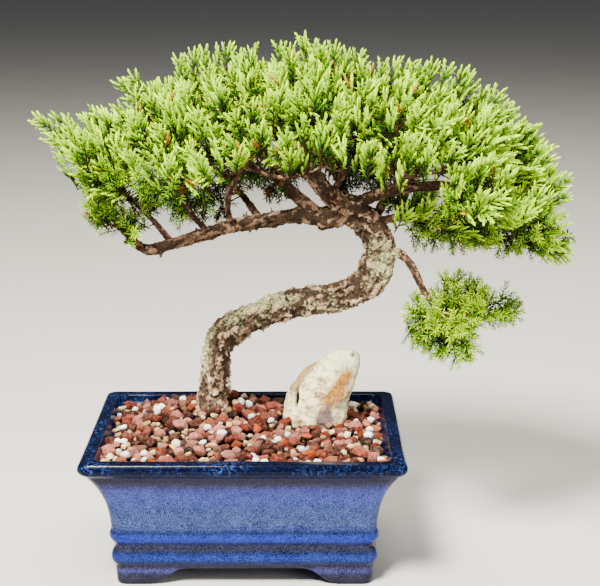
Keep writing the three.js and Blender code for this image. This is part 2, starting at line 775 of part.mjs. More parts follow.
// Gravel that covers the soil, as one closed block: a stone on each point of a staggered grid, with an
// uneven six-sided top that tips its own way, and a valley between it and each of its neighbours.
function gravelBlock() {
  const draw = seeded(7);
  const rowPitch = GRAVEL_PITCH * Math.sin(Math.PI / 3);
  const rows = Math.ceil(POT_DEPTH / 2 / rowPitch) + 1;
  const columns = Math.ceil(POT_WIDTH / 2 / GRAVEL_PITCH) + 1;
  const points = [];
  const faces = [];
  const addPoint = (x, y, z) => points.push(new THREE.Vector3(x, y, z)) - 1;

  // Valley points stand where three stones meet, and two of them belong to each grid point.
  const valleys = new Map();
  const jitter = () => between(-GRAVEL_JITTER, GRAVEL_JITTER, draw());
  const valley = (column, row, upper) => {
    const key = `${column} ${row} ${upper}`;
    if (!valleys.has(key)) {
      const x = (column + row / 2 + (upper ? 1 : 0.5)) * GRAVEL_PITCH + jitter();
      const y = (row + (upper ? 2 / 3 : 1 / 3)) * rowPitch + jitter();
      valleys.set(key, addPoint(x, y, soilHeight(x, y)));
    }
    return valleys.get(key);
  };
  for (let row = -rows; row <= rows; row++) {
    const shift = Math.floor(row / 2);
    for (let column = -columns - shift; column <= columns - shift; column++) {
      const edge = [
        valley(column, row, false), valley(column - 1, row, true), valley(column - 1, row, false),
        valley(column - 1, row - 1, true), valley(column, row - 1, false), valley(column, row - 1, true),
      ];
      const middle = edge.reduce((sum, i) => sum.add(points[i]), new THREE.Vector3()).divideScalar(6);
      const rise = GRAVEL_RISE * between(0.6, 1.25, draw());
      const tip = new THREE.Vector2(between(-0.35, 0.35, draw()), between(-0.35, 0.35, draw()));
      const top = edge.map((i) => {
        const out = points[i].clone().sub(middle);
        out.multiplyScalar(GRAVEL_TOP_SHARE * between(0.8, 1.12, draw()));
        return addPoint(middle.x + out.x, middle.y + out.y, middle.z + rise + out.x * tip.x + out.y * tip.y);
      });
      edge.forEach((low, i) => {
        const next = (i + 1) % 6;
        faces.push(low, edge[next], top[next], low, top[next], top[i]);
      });
      for (const i of [1, 2, 3, 4]) {
        faces.push(top[0], top[i], top[i + 1]);
      }
    }
  }

  // Walls and an underside below the outermost stones.
  const hasEdge = new Set();
  for (let i = 0; i < faces.length; i += 3) {
    const [a, b, c] = faces.slice(i, i + 3);
    hasEdge.add(`${a} ${b}`).add(`${b} ${c}`).add(`${c} ${a}`);
  }
  const under = addPoint(0, 0, 0);
  const below = new Map();
  const belowOf = (i) => {
    if (!below.has(i)) {
      below.set(i, addPoint(points[i].x, points[i].y, 0));
    }
    return below.get(i);
  };
  for (const edge of hasEdge) {
    const [a, b] = edge.split(" ").map(Number);
    if (!hasEdge.has(`${b} ${a}`)) {
      faces.push(b, a, belowOf(a), b, belowOf(a), belowOf(b), belowOf(b), belowOf(a), under);
    }
  }
  const geometry = new THREE.BufferGeometry().setFromPoints(points);
  geometry.setIndex(faces);
  return toSolid(geometry);
}

function screenRoom(side) {
  const width = SCREEN_SIDE + 2 * GAP;
  const height = SCREEN_THICKNESS + 3 * GAP;
  const room = new THREE.BoxGeometry(width, width, height);
  room.translate(side * DRAIN_OFFSET, 0, FLOOR_TOP + height / 2);
  return toSolid(room);
}

// Soil with its gravel, filling the pot, with plain holes for the tree's foot and the stone.
function soilSolid(treeRoom) {
  return largest(
    gravelBlock()
      .intersect(potRoom())
      .subtract(treeRoom)
      .subtract(stoneSolid(GAP))
      .subtract(screenRoom(-1))
      .subtract(screenRoom(1)),
  );
}

const bonsai = new THREE.Group();

function place(name, geometry, material) {
  const mesh = new THREE.Mesh(geometry, material);
  mesh.name = name;
  bonsai.add(mesh);
  return mesh;
}

const tufts = tuftList();
const branches = [...ledLimbs(tufts), ...twigsFor(tufts)];
const treeRoom = treeSolid(branches, GAP);

place("pot", toGeometry(potSolid()), materials.glaze);
place("drain_screen_left", toGeometry(screenSolid(-1)), materials.screen);
place("drain_screen_right", toGeometry(screenSolid(1)), materials.screen);
place("soil_and_gravel", toGeometry(soilSolid(treeRoom)), materials.gravel);
place("standing_stone", toGeometry(stoneSolid(0)), materials.stone);
place("trunk_and_limbs", toGeometry(treeSolid(branches, 0)), materials.bark);
tufts.forEach((tuft, index) => {
  const solid = largest(tuftSolid(tuft, tufts, index).subtract(treeRoom));
  place(tuft.name, toGeometry(solid), materials.leaf);
});

// The origin is the middle of the footprint, on the surface that the feet stand on.
const box = new THREE.Box3().setFromObject(bonsai);
const middle = box.getCenter(new THREE.Vector3());
bonsai.position.set(-middle.x, -middle.y, -box.min.z);

export default bonsai;
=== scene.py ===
import math
import random

import bmesh
import bpy
import numpy as np
from mathutils import Matrix, Quaternion, Vector, kdtree, noise


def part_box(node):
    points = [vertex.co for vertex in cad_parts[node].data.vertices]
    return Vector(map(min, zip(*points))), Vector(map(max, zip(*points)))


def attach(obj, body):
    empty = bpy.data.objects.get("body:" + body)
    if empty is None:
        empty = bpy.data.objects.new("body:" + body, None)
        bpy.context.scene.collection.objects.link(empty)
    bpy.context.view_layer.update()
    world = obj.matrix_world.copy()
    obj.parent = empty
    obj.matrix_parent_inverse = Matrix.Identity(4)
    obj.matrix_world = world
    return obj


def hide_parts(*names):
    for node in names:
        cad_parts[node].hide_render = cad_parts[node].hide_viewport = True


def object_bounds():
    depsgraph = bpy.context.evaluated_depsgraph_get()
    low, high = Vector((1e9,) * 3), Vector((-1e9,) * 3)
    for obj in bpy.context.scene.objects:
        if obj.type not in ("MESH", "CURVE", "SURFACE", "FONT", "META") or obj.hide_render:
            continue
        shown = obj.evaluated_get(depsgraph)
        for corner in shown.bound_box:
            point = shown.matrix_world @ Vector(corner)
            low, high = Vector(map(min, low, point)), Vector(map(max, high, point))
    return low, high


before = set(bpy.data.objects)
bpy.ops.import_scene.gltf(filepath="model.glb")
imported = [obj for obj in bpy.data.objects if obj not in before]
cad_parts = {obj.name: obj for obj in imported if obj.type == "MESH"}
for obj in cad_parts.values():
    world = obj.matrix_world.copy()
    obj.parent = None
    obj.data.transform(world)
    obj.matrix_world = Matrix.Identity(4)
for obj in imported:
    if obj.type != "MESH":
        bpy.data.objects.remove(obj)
cad_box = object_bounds()

# The view. The camera stands in front of the pot and looks a little down on it, as for a catalogue
# picture, with a plain pale floor under the feet. A large soft light stands high at the front left,
# a weaker one at the right, and a third lights the crown from behind and above.
MM = 0.001
CAMERA_FROM_POT = Vector((0.036, -0.927, 0.403))
CAMERA_DOWN = math.radians(13.9)
CAMERA_LENS = 87.3
FLOOR_SIZE = 24
FLOOR_COLOUR = "#B6B4B0"
SKY_COLOUR = "#DDE2EA"
SKY_STRENGTH = 0.15
SOFTBOX_DISTANCE = 1.6
WARM = (1.0, 0.955, 0.84)
WHITE = (1.0, 1.0, 1.0)
GROUND = -7
pot_low, pot_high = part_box("pot")
pot_middle = Vector(((pot_low.x + pot_high.x) / 2, (pot_low.y + pot_high.y) / 2, -GROUND * MM))


def paint(code):
    """A colour written as #RRGGBB, in the linear values that shaders take."""
    values = [int(code[i:i + 2], 16) / 255 for i in (1, 3, 5)]
    return [v / 12.92 if v < 0.04045 else ((v + 0.055) / 1.055) ** 2.4 for v in values] + [1]


def add(tree, kind, inputs=None, **settings):
    """A node with its settings made, and each of its inputs set to a value or linked to a socket."""
    node = tree.nodes.new(kind)
    for name, value in settings.items():
        setattr(node, name, value)
    for name, value in (inputs or {}).items():
        if isinstance(value, bpy.types.NodeSocket):
            tree.links.new(value, node.inputs[name])
        else:
            node.inputs[name].default_value = value
    return node


def finish(name, **values):
    """A material with one shader, and its tree and shader. The values go to the shader's sockets."""
    material = bpy.data.materials.new(name)
    material.use_nodes = True
    tree = material.node_tree
    tree.nodes.clear()
    shader = add(tree, "ShaderNodeBsdfPrincipled", values)
    add(tree, "ShaderNodeOutputMaterial", {"Surface": shader.outputs[0]})
    return material, tree, shader


def place_of(tree):
    """The place of a point on the piece, in metres."""
    return add(tree, "ShaderNodeTexCoord").outputs["Object"]


def cloud(tree, place, grain_mm, detail=2.0, roughness=0.5, distortion=0.0):
    """Soft noise from 0 to 1 whose patches are about grain_mm across."""
    inputs = {"Vector": place, "Scale": 1 / (grain_mm * MM), "Detail": detail}
    inputs |= {"Roughness": roughness, "Distortion": distortion}
    return add(tree, "ShaderNodeTexNoise", inputs).outputs[0]


def ramp(tree, value, stops):
    """Colours along a value: stops are (value, #RRGGBB) pairs from low to high."""
    node = add(tree, "ShaderNodeValToRGB", {0: value})
    elements = node.color_ramp.elements
    while len(elements) < len(stops):
        elements.new(0.5)
    for element, (position, code) in zip(elements, stops):
        element.position = position
        element.color = paint(code)
    return node.outputs[0]


def span(tree, value, low, high, to_low=0.0, to_high=1.0):
    """A value between low and high, stretched to run from to_low to to_high and held there."""
    return add(tree, "ShaderNodeMapRange", {0: value, 1: low, 2: high, 3: to_low, 4: to_high}).outputs[0]


def mix(tree, share, base, cover, way="MIX"):
    """Two colours blended by a share from 0 to 1."""
    inputs = {0: share, 6: base, 7: cover}
    return add(tree, "ShaderNodeMix", inputs, data_type="RGBA", blend_type=way).outputs[2]


def sum_of(tree, *values):
    """The sum of several values."""
    total = values[0]
    for value in values[1:]:
        total = add(tree, "ShaderNodeMath", {0: total, 1: value}, operation="ADD").outputs[0]
    return total


def times(tree, value, factor):
    """A value times another."""
    return add(tree, "ShaderNodeMath", {0: value, 1: factor}, operation="MULTIPLY").outputs[0]


def relief(tree, shader, height, depth_mm, strength=1.0):
    """Fine relief on a shader's surface, from a height of 0 to 1 that stands for depth_mm."""
    inputs = {"Height": height, "Distance": depth_mm * MM, "Strength": strength}
    bump = add(tree, "ShaderNodeBump", inputs)
    tree.links.new(bump.outputs[0], shader.inputs["Normal"])


def piece(name, points, faces, material, smooth=True):
    """A piece from points in metres and faces, in the scene at the origin."""
    mesh = bpy.data.meshes.new(name)
    mesh.from_pydata([tuple(p) for p in points], [], [tuple(f) for f in faces])
    mesh.validate()
    mesh.polygons.foreach_set("use_smooth", [smooth] * len(mesh.polygons))
    mesh.materials.append(material)
    made = bpy.data.objects.new(name, mesh)
    bpy.context.scene.collection.objects.link(made)
    return made


def softbox(name, way, size, watts, colour):
    """A square light that stands the given way from the tree, and faces it."""
    data = bpy.data.lights.new(name, "AREA")
    data.color = colour
    data.size = size
    data.energy = watts
    light = bpy.data.objects.new(name, data)
    middle = (cad_box[0] + cad_box[1]) / 2
    light.location = middle + Vector(way).normalized() * SOFTBOX_DISTANCE
    light.rotation_euler = (middle - light.location).to_track_quat("-Z", "Y").to_euler()
    bpy.context.scene.collection.objects.link(light)


camera_data = bpy.data.cameras.new("camera")
camera_data.lens = CAMERA_LENS
camera_data.clip_end = 50
camera = bpy.data.objects.new("camera", camera_data)
camera.location = pot_middle + CAMERA_FROM_POT
camera.rotation_euler = (math.pi / 2 - CAMERA_DOWN, 0, 0)
bpy.context.scene.collection.objects.link(camera)
bpy.context.scene.camera = camera

floor_material, tree, shader = finish("floor_paper", Roughness=0.9)
floor_tone = cloud(tree, place_of(tree), 180)
tree.links.new(
    ramp(tree, floor_tone, [(0.3, "#B3B1AC"), (0.7, FLOOR_COLOUR)]), shader.inputs["Base Color"]
)
half = FLOOR_SIZE / 2
floor_corners = [(-half, -half, 0), (half, -half, 0), (half, half, 0), (-half, half, 0)]
floor = piece("floor", floor_corners, [(0, 1, 2, 3)], floor_material)

world = bpy.data.worlds.new("studio")
world.use_nodes = True
world.node_tree.nodes["Background"].inputs[0].default_value = paint(SKY_COLOUR)
world.node_tree.nodes["Background"].inputs[1].default_value = SKY_STRENGTH
bpy.context.scene.world = world
softbox("key_light", (-0.48, -0.9, 1.33), 0.45, 175, WARM)
softbox("fill_light", (1.1, -1.0, 0.5), 1.2, 20, WHITE)
softbox("crown_light", (0.3, 0.45, 1.4), 0.8, 45, WARM)


# The pot: stoneware cast in one piece, a flared rectangle with a rolled lip, two rounded bands and
# four feet with arched skirts between them. A cobalt glaze was poured over it. It runs dark and
# streaky on the lip, mottled violet-blue on the wall, and pools bright on the bands. The lower sides
# of the bands are also painted lighter, as painted bounce light from below.
POT_CORNER = 6.5
FOOT_INSET = 20.6
SKIRT_INSET = 28.6
FOOT_BAND = 6.5
ARCH_TOP = 4.3
FLOOR_UNDERSIDE = 4.5
FLOOR_TOP = 9.5
FOOT_LENGTH = 24
FOOT_CURVE = 24
DRAIN_RADIUS = 8
DRAIN_OFFSET = 44
DRAIN_SIDES = 40
CORNER_STEPS = 9
SIDE_STEP = 3.2
pot_half = ((pot_high.x - pot_low.x) / 2 / MM, (pot_high.y - pot_low.y) / 2 / MM)

# The pot's section, as curves through [inset from the lip, height] points and their number of steps.
SOLE = (FOOT_INSET + 1.5, GROUND)
OUTSIDE = [
    ((SOLE, (FOOT_INSET + 0.2, GROUND), (FOOT_INSET, GROUND + 2)), 4),
    (((FOOT_INSET, GROUND + 2), (20, FOOT_BAND)), 6),
    (((20, FOOT_BAND), (16.2, 11.5), (19, 16.5)), 10),
    (((19, 16.5), (21.5, 19.5), (19, 22.5)), 8),
    (((19, 22.5), (15.6, 27.5), (18.2, 31.5)), 10),
    (((18.2, 31.5), (17.2, 46), (14.5, 58), (5.6, 70.5)), 20),
    (((5.6, 70.5), (4, 73.2), (2.6, 73.8)), 4),
    (((2.6, 73.8), (-1.6, 77), (1.6, 81)), 10),
    (((1.6, 81), (2, 82), (3, 82)), 3),
    (((3, 82), (9, 82)), 4),
    (((9, 82), (10.4, 82), (10.4, 80)), 4),
    (((10.4, 80), (19, 67), (24, 52), (24.6, FLOOR_TOP)), 14),
]


def bend(controls, steps):
    """Points along the Bezier curve over some control points, from its first to its last."""
    share = np.linspace(0, 1, steps + 1)[:, None]
    layers = [np.array(control, float) for control in controls]
    while len(layers) > 1:
        layers = [near + (far - near) * share for near, far in zip(layers, layers[1:])]
    return layers[0]


def arch_height(place, half_gap):
    """The height of the skirt's lower edge, at a place along a side."""
    low = GROUND + 1
    flank = [(0, low), (FOOT_CURVE / 2, low + 1), (0.4 * FOOT_CURVE, ARCH_TOP), (FOOT_CURVE, ARCH_TOP)]
    curve = bend([(half_gap - x, z) for x, z in flank], 16)[::-1]
    return float(np.interp(abs(place), [*curve[:, 0], half_gap + 1.2], [*curve[:, 1], GROUND]))


def side_places(half_gap, run):
    """Places along a side's straight run, the same up to its feet at every height of the pot."""
    inner = half_gap + 2
    count = round(inner / SIDE_STEP) * 2
    even = np.linspace(-inner, inner, count + 1)
    outer = inner + (run - inner) * np.array([0.25, 0.5, 0.75])
    return [*-outer[::-1], *even, *outer]


def pot_ring(inset, height_of):
    """A ring round the pot at an inset from the lip. height_of takes the skirt's height there."""
    ring = []
    runs = [half - inset - POT_CORNER for half in pot_half]
    gaps = [half - FOOT_INSET - FOOT_LENGTH for half in pot_half]
    for quarter, (sx, sy) in enumerate([(1, 1), (-1, 1), (-1, -1), (1, -1)]):
        for step in range(CORNER_STEPS + 1):
            angle = (quarter + step / CORNER_STEPS) * math.pi / 2
            x = sx * runs[0] + POT_CORNER * math.cos(angle)
            y = sy * runs[1] + POT_CORNER * math.sin(angle)
            ring.append((x, y, height_of(GROUND)))
        along = quarter % 2
        for place in side_places(gaps[along], runs[along]):
            lift = height_of(arch_height(place, gaps[along]))
            across = runs[1 - along] + POT_CORNER
            spot = [(-place, across), (-across, -place), (place, -across), (across, place)][quarter]
            ring.append((*spot, lift))
    return ring


def drain_ring(side, z):
    """A ring round a drain hole."""
    angles = np.linspace(0, 2 * math.pi, DRAIN_SIDES, endpoint=False)
    middle = side * DRAIN_OFFSET
    return [(middle + DRAIN_RADIUS * math.cos(a), DRAIN_RADIUS * math.sin(a), z) for a in angles]


def placed(points_mm):
    """Points in millimetres about the pot's middle, as points of the whole object in metres."""
    return np.array(points_mm, float) * MM + np.array(pot_middle)


# The glaze's colour by height: feet, lower band, cove, upper band, wall, the lip's underside, lip.
# It also holds painted bounce light: the downward-facing lower sides of the bands and the cove are
# painted lighter, as if lit from below.
GLAZE_AND_BOUNCE_LIGHT = [
    (-7, "#100C10"), (-4, "#1A1620"), (0, "#241D2A"), (2.5, "#393A78"), (5, "#302530"),
    (6.5, "#221E34"), (8.5, "#1A2457"), (11, "#1C3177"), (13, "#192878"), (14.5, "#112063"),
    (16, "#0A122C"), (18.5, "#1E141C"), (21, "#28284A"), (22.5, "#2C3C8C"), (25, "#1E3AAE"),
    (28, "#162880"), (30, "#0D1A3A"), (32.5, "#243168"), (40, "#263468"), (48, "#2E3E7E"),
    (56, "#3E4CAA"), (62, "#40429A"), (66, "#342E50"), (70, "#1D1A36"), (73, "#171A3E"),
    (75, "#080E38"), (77, "#01041E"), (82, "#020416"),
]
RIM = 82

glaze, tree, shader = finish("cobalt_glaze")
place = place_of(tree)
height = add(tree, "ShaderNodeSeparateXYZ", {0: place}).outputs[2]
drift = span(tree, cloud(tree, place, 16, 3), 0, 1, -1.2 * MM, 1.2 * MM)
level = span(tree, sum_of(tree, height, drift), 0, (RIM - GROUND) * MM, GROUND, RIM)
share = span(tree, level, GROUND, RIM)
# Glaze colour by height, with painted bounce light on the bands' lower sides.
glaze_and_bounce_light = ramp(tree, share, [((z - GROUND) / (RIM - GROUND), code) for z, code in GLAZE_AND_BOUNCE_LIGHT])
speckle = cloud(tree, place, 0.75, 2, 0.7)
mottle = cloud(tree, place, 7, 3, 0.6)
grain = span(tree, sum_of(tree, speckle, times(tree, mottle, 0.2)), 0.47, 0.77)
on_wall = times(tree, span(tree, level, 31, 36), span(tree, level, 60, 68, 1, 0))
pale_share = sum_of(tree, times(tree, on_wall, 0.13), span(tree, level, 62, 73, 0.05, 0.006))
light_glaze = mix(tree, pale_share, glaze_and_bounce_light, paint("#8FA6E6"))
body_colour = mix(tree, grain, mix(tree, 1.0, glaze_and_bounce_light, paint("#666C98"), "MULTIPLY"), light_glaze)
on_lip = span(tree, level, 73, 75)
streaks = cloud(tree, place, 5, 4, 0.62, 2.8)
streaky = span(tree, cloud(tree, place, 42), 0.42, 0.62, 0.15, 1)
streak_share = times(tree, times(tree, span(tree, streaks, 0.5, 0.64, 0, 0.62), on_lip), streaky)
streak_colour = ramp(tree, speckle, [(0.42, "#06103A"), (0.62, "#4468BC")])
body_colour = mix(tree, streak_share, body_colour, streak_colour)
tree.links.new(body_colour, shader.inputs["Base Color"])
tree.links.new(span(tree, on_wall, 0, 1, 0.14, 0.34), shader.inputs["Roughness"])
shader.inputs["Specular IOR Level"].default_value = 0.08
relief(tree, shader, sum_of(tree, times(tree, speckle, 0.25), cloud(tree, place, 14, 2)), 0.35, 0.3)

pot_rows = []
pot_rows.append(pot_ring(SKIRT_INSET, lambda arch: FLOOR_UNDERSIDE))
pot_rows.append(pot_ring(SKIRT_INSET, lambda arch: arch))
for controls, steps in OUTSIDE:
    for inset, level in bend(controls, steps)[0 if controls[0] == SOLE else 1:]:
        rise = min((level - GROUND) / (FOOT_BAND - GROUND), 1)
        pot_rows.append(pot_ring(inset, lambda arch: max(level, arch + (FOOT_BAND - arch) * rise)))
columns = len(pot_rows[0])
pot_points = [point for row in pot_rows for point in row]
pot_faces = []
for row in range(len(pot_rows) - 1):
    for column in range(columns):
        near, next_near = row * columns + column, row * columns + (column + 1) % columns
        pot_faces.append((near, next_near, next_near + columns, near + columns))
drains = {}
for side in (-1, 1):
    for z in (FLOOR_UNDERSIDE, FLOOR_TOP):
        drains[side, z] = len(pot_points)
        pot_points += drain_ring(side, z)
    for i in range(DRAIN_SIDES):
        start = drains[side, FLOOR_UNDERSIDE]
        low, low_next = start + i, start + (i + 1) % DRAIN_SIDES
        high, high_next = low + DRAIN_SIDES, low_next + DRAIN_SIDES
        pot_faces.append((low, low_next, high_next, high))
pot = piece("glazed_pot", placed(pot_points), pot_faces, glaze)
shell = bmesh.new()
shell.from_mesh(pot.data)
open_edges = [edge for edge in shell.edges if edge.is_boundary]
for z in (FLOOR_UNDERSIDE, FLOOR_TOP):
    level = [edge for edge in open_edges if abs(edge.verts[0].co.z - (z - GROUND) * MM) < 1e-5]
    bmesh.ops.triangle_fill(shell, edges=level, use_beauty=True, normal=(0, 0, 1))
bmesh.ops.recalc_face_normals(shell, faces=shell.faces)
for face in shell.faces:
    face.smooth = True
for vert in shell.verts:
    spot = vert.co / (30 * MM)
    if vert.co.z > (FOOT_BAND - GROUND) * MM:
        vert.co += vert.normal * noise.noise(spot) * 0.25 * MM
shell.to_mesh(pot.data)
shell.free()
pot.data.set_sharp_from_angle(angle=math.radians(42))
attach(pot, "root")
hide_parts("pot")


# Screens over the drain holes: squares of black plastic mesh, moulded as two layers of crossing
# rods, laid on the pot's floor before the soil went in.
ROD_PITCH = 3
ROD_WIDTH = 0.9


def screen_tree():
    """Rods side by side in two crossing layers, as a tree of geometry nodes."""
    group = bpy.data.node_groups.new("screen_rods", "GeometryNodeTree")
    group.is_modifier = True
    face = group.interface
    for name, kind in [("Side", "Float"), ("Pitch", "Float"), ("Rod Width", "Float"), ("Layer", "Float")]:
        face.new_socket(name, in_out="INPUT", socket_type=f"NodeSocket{kind}")
    face.new_socket("Finish", in_out="INPUT", socket_type="NodeSocketMaterial")
    face.new_socket("Screen", in_out="OUTPUT", socket_type="NodeSocketGeometry")
    given = group.nodes.new("NodeGroupInput").outputs
    shared = {0: given["Side"], 1: given["Pitch"]}
    count = add(group, "ShaderNodeMath", shared, operation="DIVIDE").outputs[0]
    layers = []
    for level in (0, 1):
        half_back = times(group, given["Side"], -0.5)
        lift = times(group, given["Layer"], level)
        ends = {"XYZ"[level]: half_back, "Z": lift}
        start = add(group, "ShaderNodeCombineXYZ", ends).outputs[0]
        step = add(group, "ShaderNodeCombineXYZ", {"XYZ"[level]: given["Pitch"]}).outputs[0]
        line = add(group, "GeometryNodeMeshLine", {"Count": count, "Start Location": start, "Offset": step})
        sizes = {"XYZ"[level]: given["Rod Width"], "XYZ"[1 - level]: given["Side"], "Z": given["Layer"]}
        size = add(group, "ShaderNodeCombineXYZ", sizes).outputs[0]
        rod = add(group, "GeometryNodeMeshCube", {"Size": size})
        spread = {"Points": line.outputs[0], "Instance": rod.outputs[0]}
        layers.append(add(group, "GeometryNodeInstanceOnPoints", spread).outputs[0])
    both = add(group, "GeometryNodeJoinGeometry")
    for layer in layers:
        group.links.new(layer, both.inputs[0])
    solid = add(group, "GeometryNodeRealizeInstances", {0: both.outputs[0]}).outputs[0]
    coated = add(group, "GeometryNodeSetMaterial", {"Geometry": solid, "Material": given["Finish"]})
    add(group, "NodeGroupOutput", {0: coated.outputs[0]})
    return group


def grown(name, group, values, carrier=None):
    """The plain mesh that a tree of geometry nodes makes, as an object. values are named inputs."""
    seed = carrier or bpy.data.objects.new(name + "_seed", bpy.data.meshes.new(name + "_seed"))
    if carrier is None:
        bpy.context.scene.collection.objects.link(seed)
    modifier = seed.modifiers.new("grow", "NODES")
    modifier.node_group = group
    for item in group.interface.items_tree:
        if item.in_out == "INPUT" and item.name in values:
            modifier[item.identifier] = values[item.name]
    graph = bpy.context.evaluated_depsgraph_get()
    mesh = bpy.data.meshes.new_from_object(seed.evaluated_get(graph), depsgraph=graph)
    seed.modifiers.remove(modifier)
    bpy.data.objects.remove(seed)
    made = bpy.data.objects.new(name, mesh)
    bpy.context.scene.collection.objects.link(made)
    return made


screen_plastic, tree, shader = finish("screen_plastic", Roughness=0.5)
place = place_of(tree)
tree.links.new(
    ramp(tree, cloud(tree, place, 2), [(0.3, "#151516"), (0.7, "#242427")]), shader.inputs["Base Color"]
)
relief(tree, shader, cloud(tree, place, 0.4), 0.05)
rods = screen_tree()
for side, node in ((-1, "drain_screen_left"), (1, "drain_screen_right")):
    low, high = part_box(node)
    sizes = {"Side": high.x - low.x - ROD_WIDTH * MM, "Pitch": ROD_PITCH * MM, "Rod Width": ROD_WIDTH * MM}
    sizes |= {"Layer": (high.z - low.z) / 2, "Finish": screen_plastic}
    screen = grown(f"screen_{'left' if side < 0 else 'right'}", rods, sizes)
    middle = (low + high) / 2
    half_pitch = ROD_PITCH / 2 * MM
    shift = Vector((middle.x + half_pitch, middle.y + half_pitch, low.z + (high.z - low.z) / 4))
    for vert in screen.data.vertices:
        vert.co += shift
    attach(screen, "root")
    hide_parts(node)


# Soil and gravel: the pot is filled with dark soil, heaped a little round the trunk's foot, and
# topped with loose stones: red and brown lava pebbles, white perlite, tan grit and a few black ones.
# Each stone is dropped where it comes to rest lowest on those before it.
TRUNK_FOOT = (-25, 33)
SOIL_LEVEL = 73.5
MOUND_RISE = 9
MOUND_REACH = 32
BED_DEPTH = 8
GRAVEL_RISE = 5.2
GRAVEL_INSET = 11
PACKING = 0.78
HEAP_LIMIT = 2.2
TRIES = 14
STANDING = [(TRUNK_FOOT, (10.5, 10.5)), ((46, 24), (21, 13))]
STONE_SHAPES = 12
ROUND_SHAPES = 3
LAVA = [
    "#6C3026", "#7C3C2E", "#8C5044", "#3A1814", "#52281F", "#9C6458", "#2C110E", "#863610", "#581A12",
    "#80544C", "#A4685A", "#5E2A26",
]
PERLITE = ["#F4F2EC", "#E9E6DE", "#FFFFFF"]
GRIT = ["#D8BE8C", "#C6A272", "#E2CDA4", "#AF8A5E", "#CDB48A", "#8A6A48"]
COAL = ["#1A1716", "#2E2620", "#26211F"]

# Kinds of stones, as they are dropped: number, least and greatest radius, palette, roundness.
DROPS = [
    (250, 3.0, 4.8, LAVA, 0), (60, 1.5, 2.4, GRIT, 0), (12, 2.4, 3.2, PERLITE, 1),
    (230, 3.8, 6.0, LAVA, 0), (22, 3.6, 5.6, COAL, 0), (26, 2.5, 3.5, PERLITE, 1),
    (170, 3.6, 5.6, LAVA, 0), (120, 1.8, 2.8, GRIT, 0), (34, 2.3, 3.4, PERLITE, 1),
    (48, 5.2, 8.2, LAVA, 0), (140, 2.2, 4.2, LAVA, 0), (280, 1.2, 2.6, GRIT, 0), (34, 1.9, 3.2, PERLITE, 1),
]


def soil_height(x, y):
    """The height of the soil's top at a place on the pot."""
    away = np.hypot(x - TRUNK_FOOT[0], y - TRUNK_FOOT[1]) / MOUND_REACH
    return SOIL_LEVEL + MOUND_RISE * np.exp(-(away ** 2) / 2)


def soil_points():
    """Rings up the pot's inner wall and then in to the middle over the soil's top."""
    rows = [[(x, y, z) for x, y, _ in pot_ring(inset, lambda arch: 0)] for inset, z in [
        (25.2, FLOOR_TOP + 0.5), (24.9, 40), (22.8, 56), (19.8, 65),
    ]]
    rim = np.array(rows[-1])
    for share in np.linspace(0.97, 0, 26):
        row = []
        for x, y, _ in rim * [share, share, 1]:
            lumps = noise.noise(Vector((x, y, 0)) / 6) * 1.2
            row.append((x, y, float(soil_height(x, y)) - BED_DEPTH + lumps))
        rows.append(row)
    return rows


def pebble(name, corners, wobble, flatness, seed):
    """A small stone of radius one, as the skin round some scattered points."""
    dice = random.Random(seed)
    turn = math.pi * (3 - math.sqrt(5))
    body = bmesh.new()
    for i in range(corners):
        z = 1 - 2 * (i + 0.5) / corners
        flat = math.sqrt(1 - z * z)
        reach = 1 + dice.uniform(-wobble, wobble)
        angle = i * turn + dice.uniform(-0.3, 0.3)
        x, y = reach * flat * math.cos(angle), reach * flat * math.sin(angle)
        body.verts.new((x, y, reach * z * flatness))
    bmesh.ops.convex_hull(body, input=body.verts)
    bmesh.ops.delete(body, geom=[v for v in body.verts if not v.link_faces], context="VERTS")
    bmesh.ops.recalc_face_normals(body, faces=body.faces)
    mesh = bpy.data.meshes.new(name)
    body.to_mesh(mesh)
    body.free()
    return bpy.data.objects.new(name, mesh)


def strew_tree():
    """Puts a shape of a collection on each point, turned and sized as the point says."""
    group = bpy.data.node_groups.new("strewn_shapes", "GeometryNodeTree")
    group.is_modifier = True
    face = group.interface
    face.new_socket("Spots", in_out="INPUT", socket_type="NodeSocketGeometry")
    face.new_socket("Shapes", in_out="INPUT", socket_type="NodeSocketCollection")
    face.new_socket("Finish", in_out="INPUT", socket_type="NodeSocketMaterial")
    face.new_socket("Strewn", in_out="OUTPUT", socket_type="NodeSocketGeometry")
    given = group.nodes.new("NodeGroupInput").outputs
    shapes = add(group, "GeometryNodeCollectionInfo", {
        "Collection": given["Shapes"], "Separate Children": True, "Reset Children": True,
    })

    def told(name, kind):
        return add(group, "GeometryNodeInputNamedAttribute", {"Name": name}, data_type=kind).outputs[0]

    spread = add(group, "GeometryNodeInstanceOnPoints", {
        "Points": given["Spots"], "Instance": shapes.outputs[0], "Pick Instance": True,
        "Instance Index": told("sort", "INT"), "Rotation": told("turn", "FLOAT_VECTOR"),
        "Scale": told("size", "FLOAT_VECTOR"),
    })
    solid = add(group, "GeometryNodeRealizeInstances", {0: spread.outputs[0]}).outputs[0]
    coated = add(group, "GeometryNodeSetMaterial", {"Geometry": solid, "Material": given["Finish"]})
    add(group, "NodeGroupOutput", {0: coated.outputs[0]})
    return group


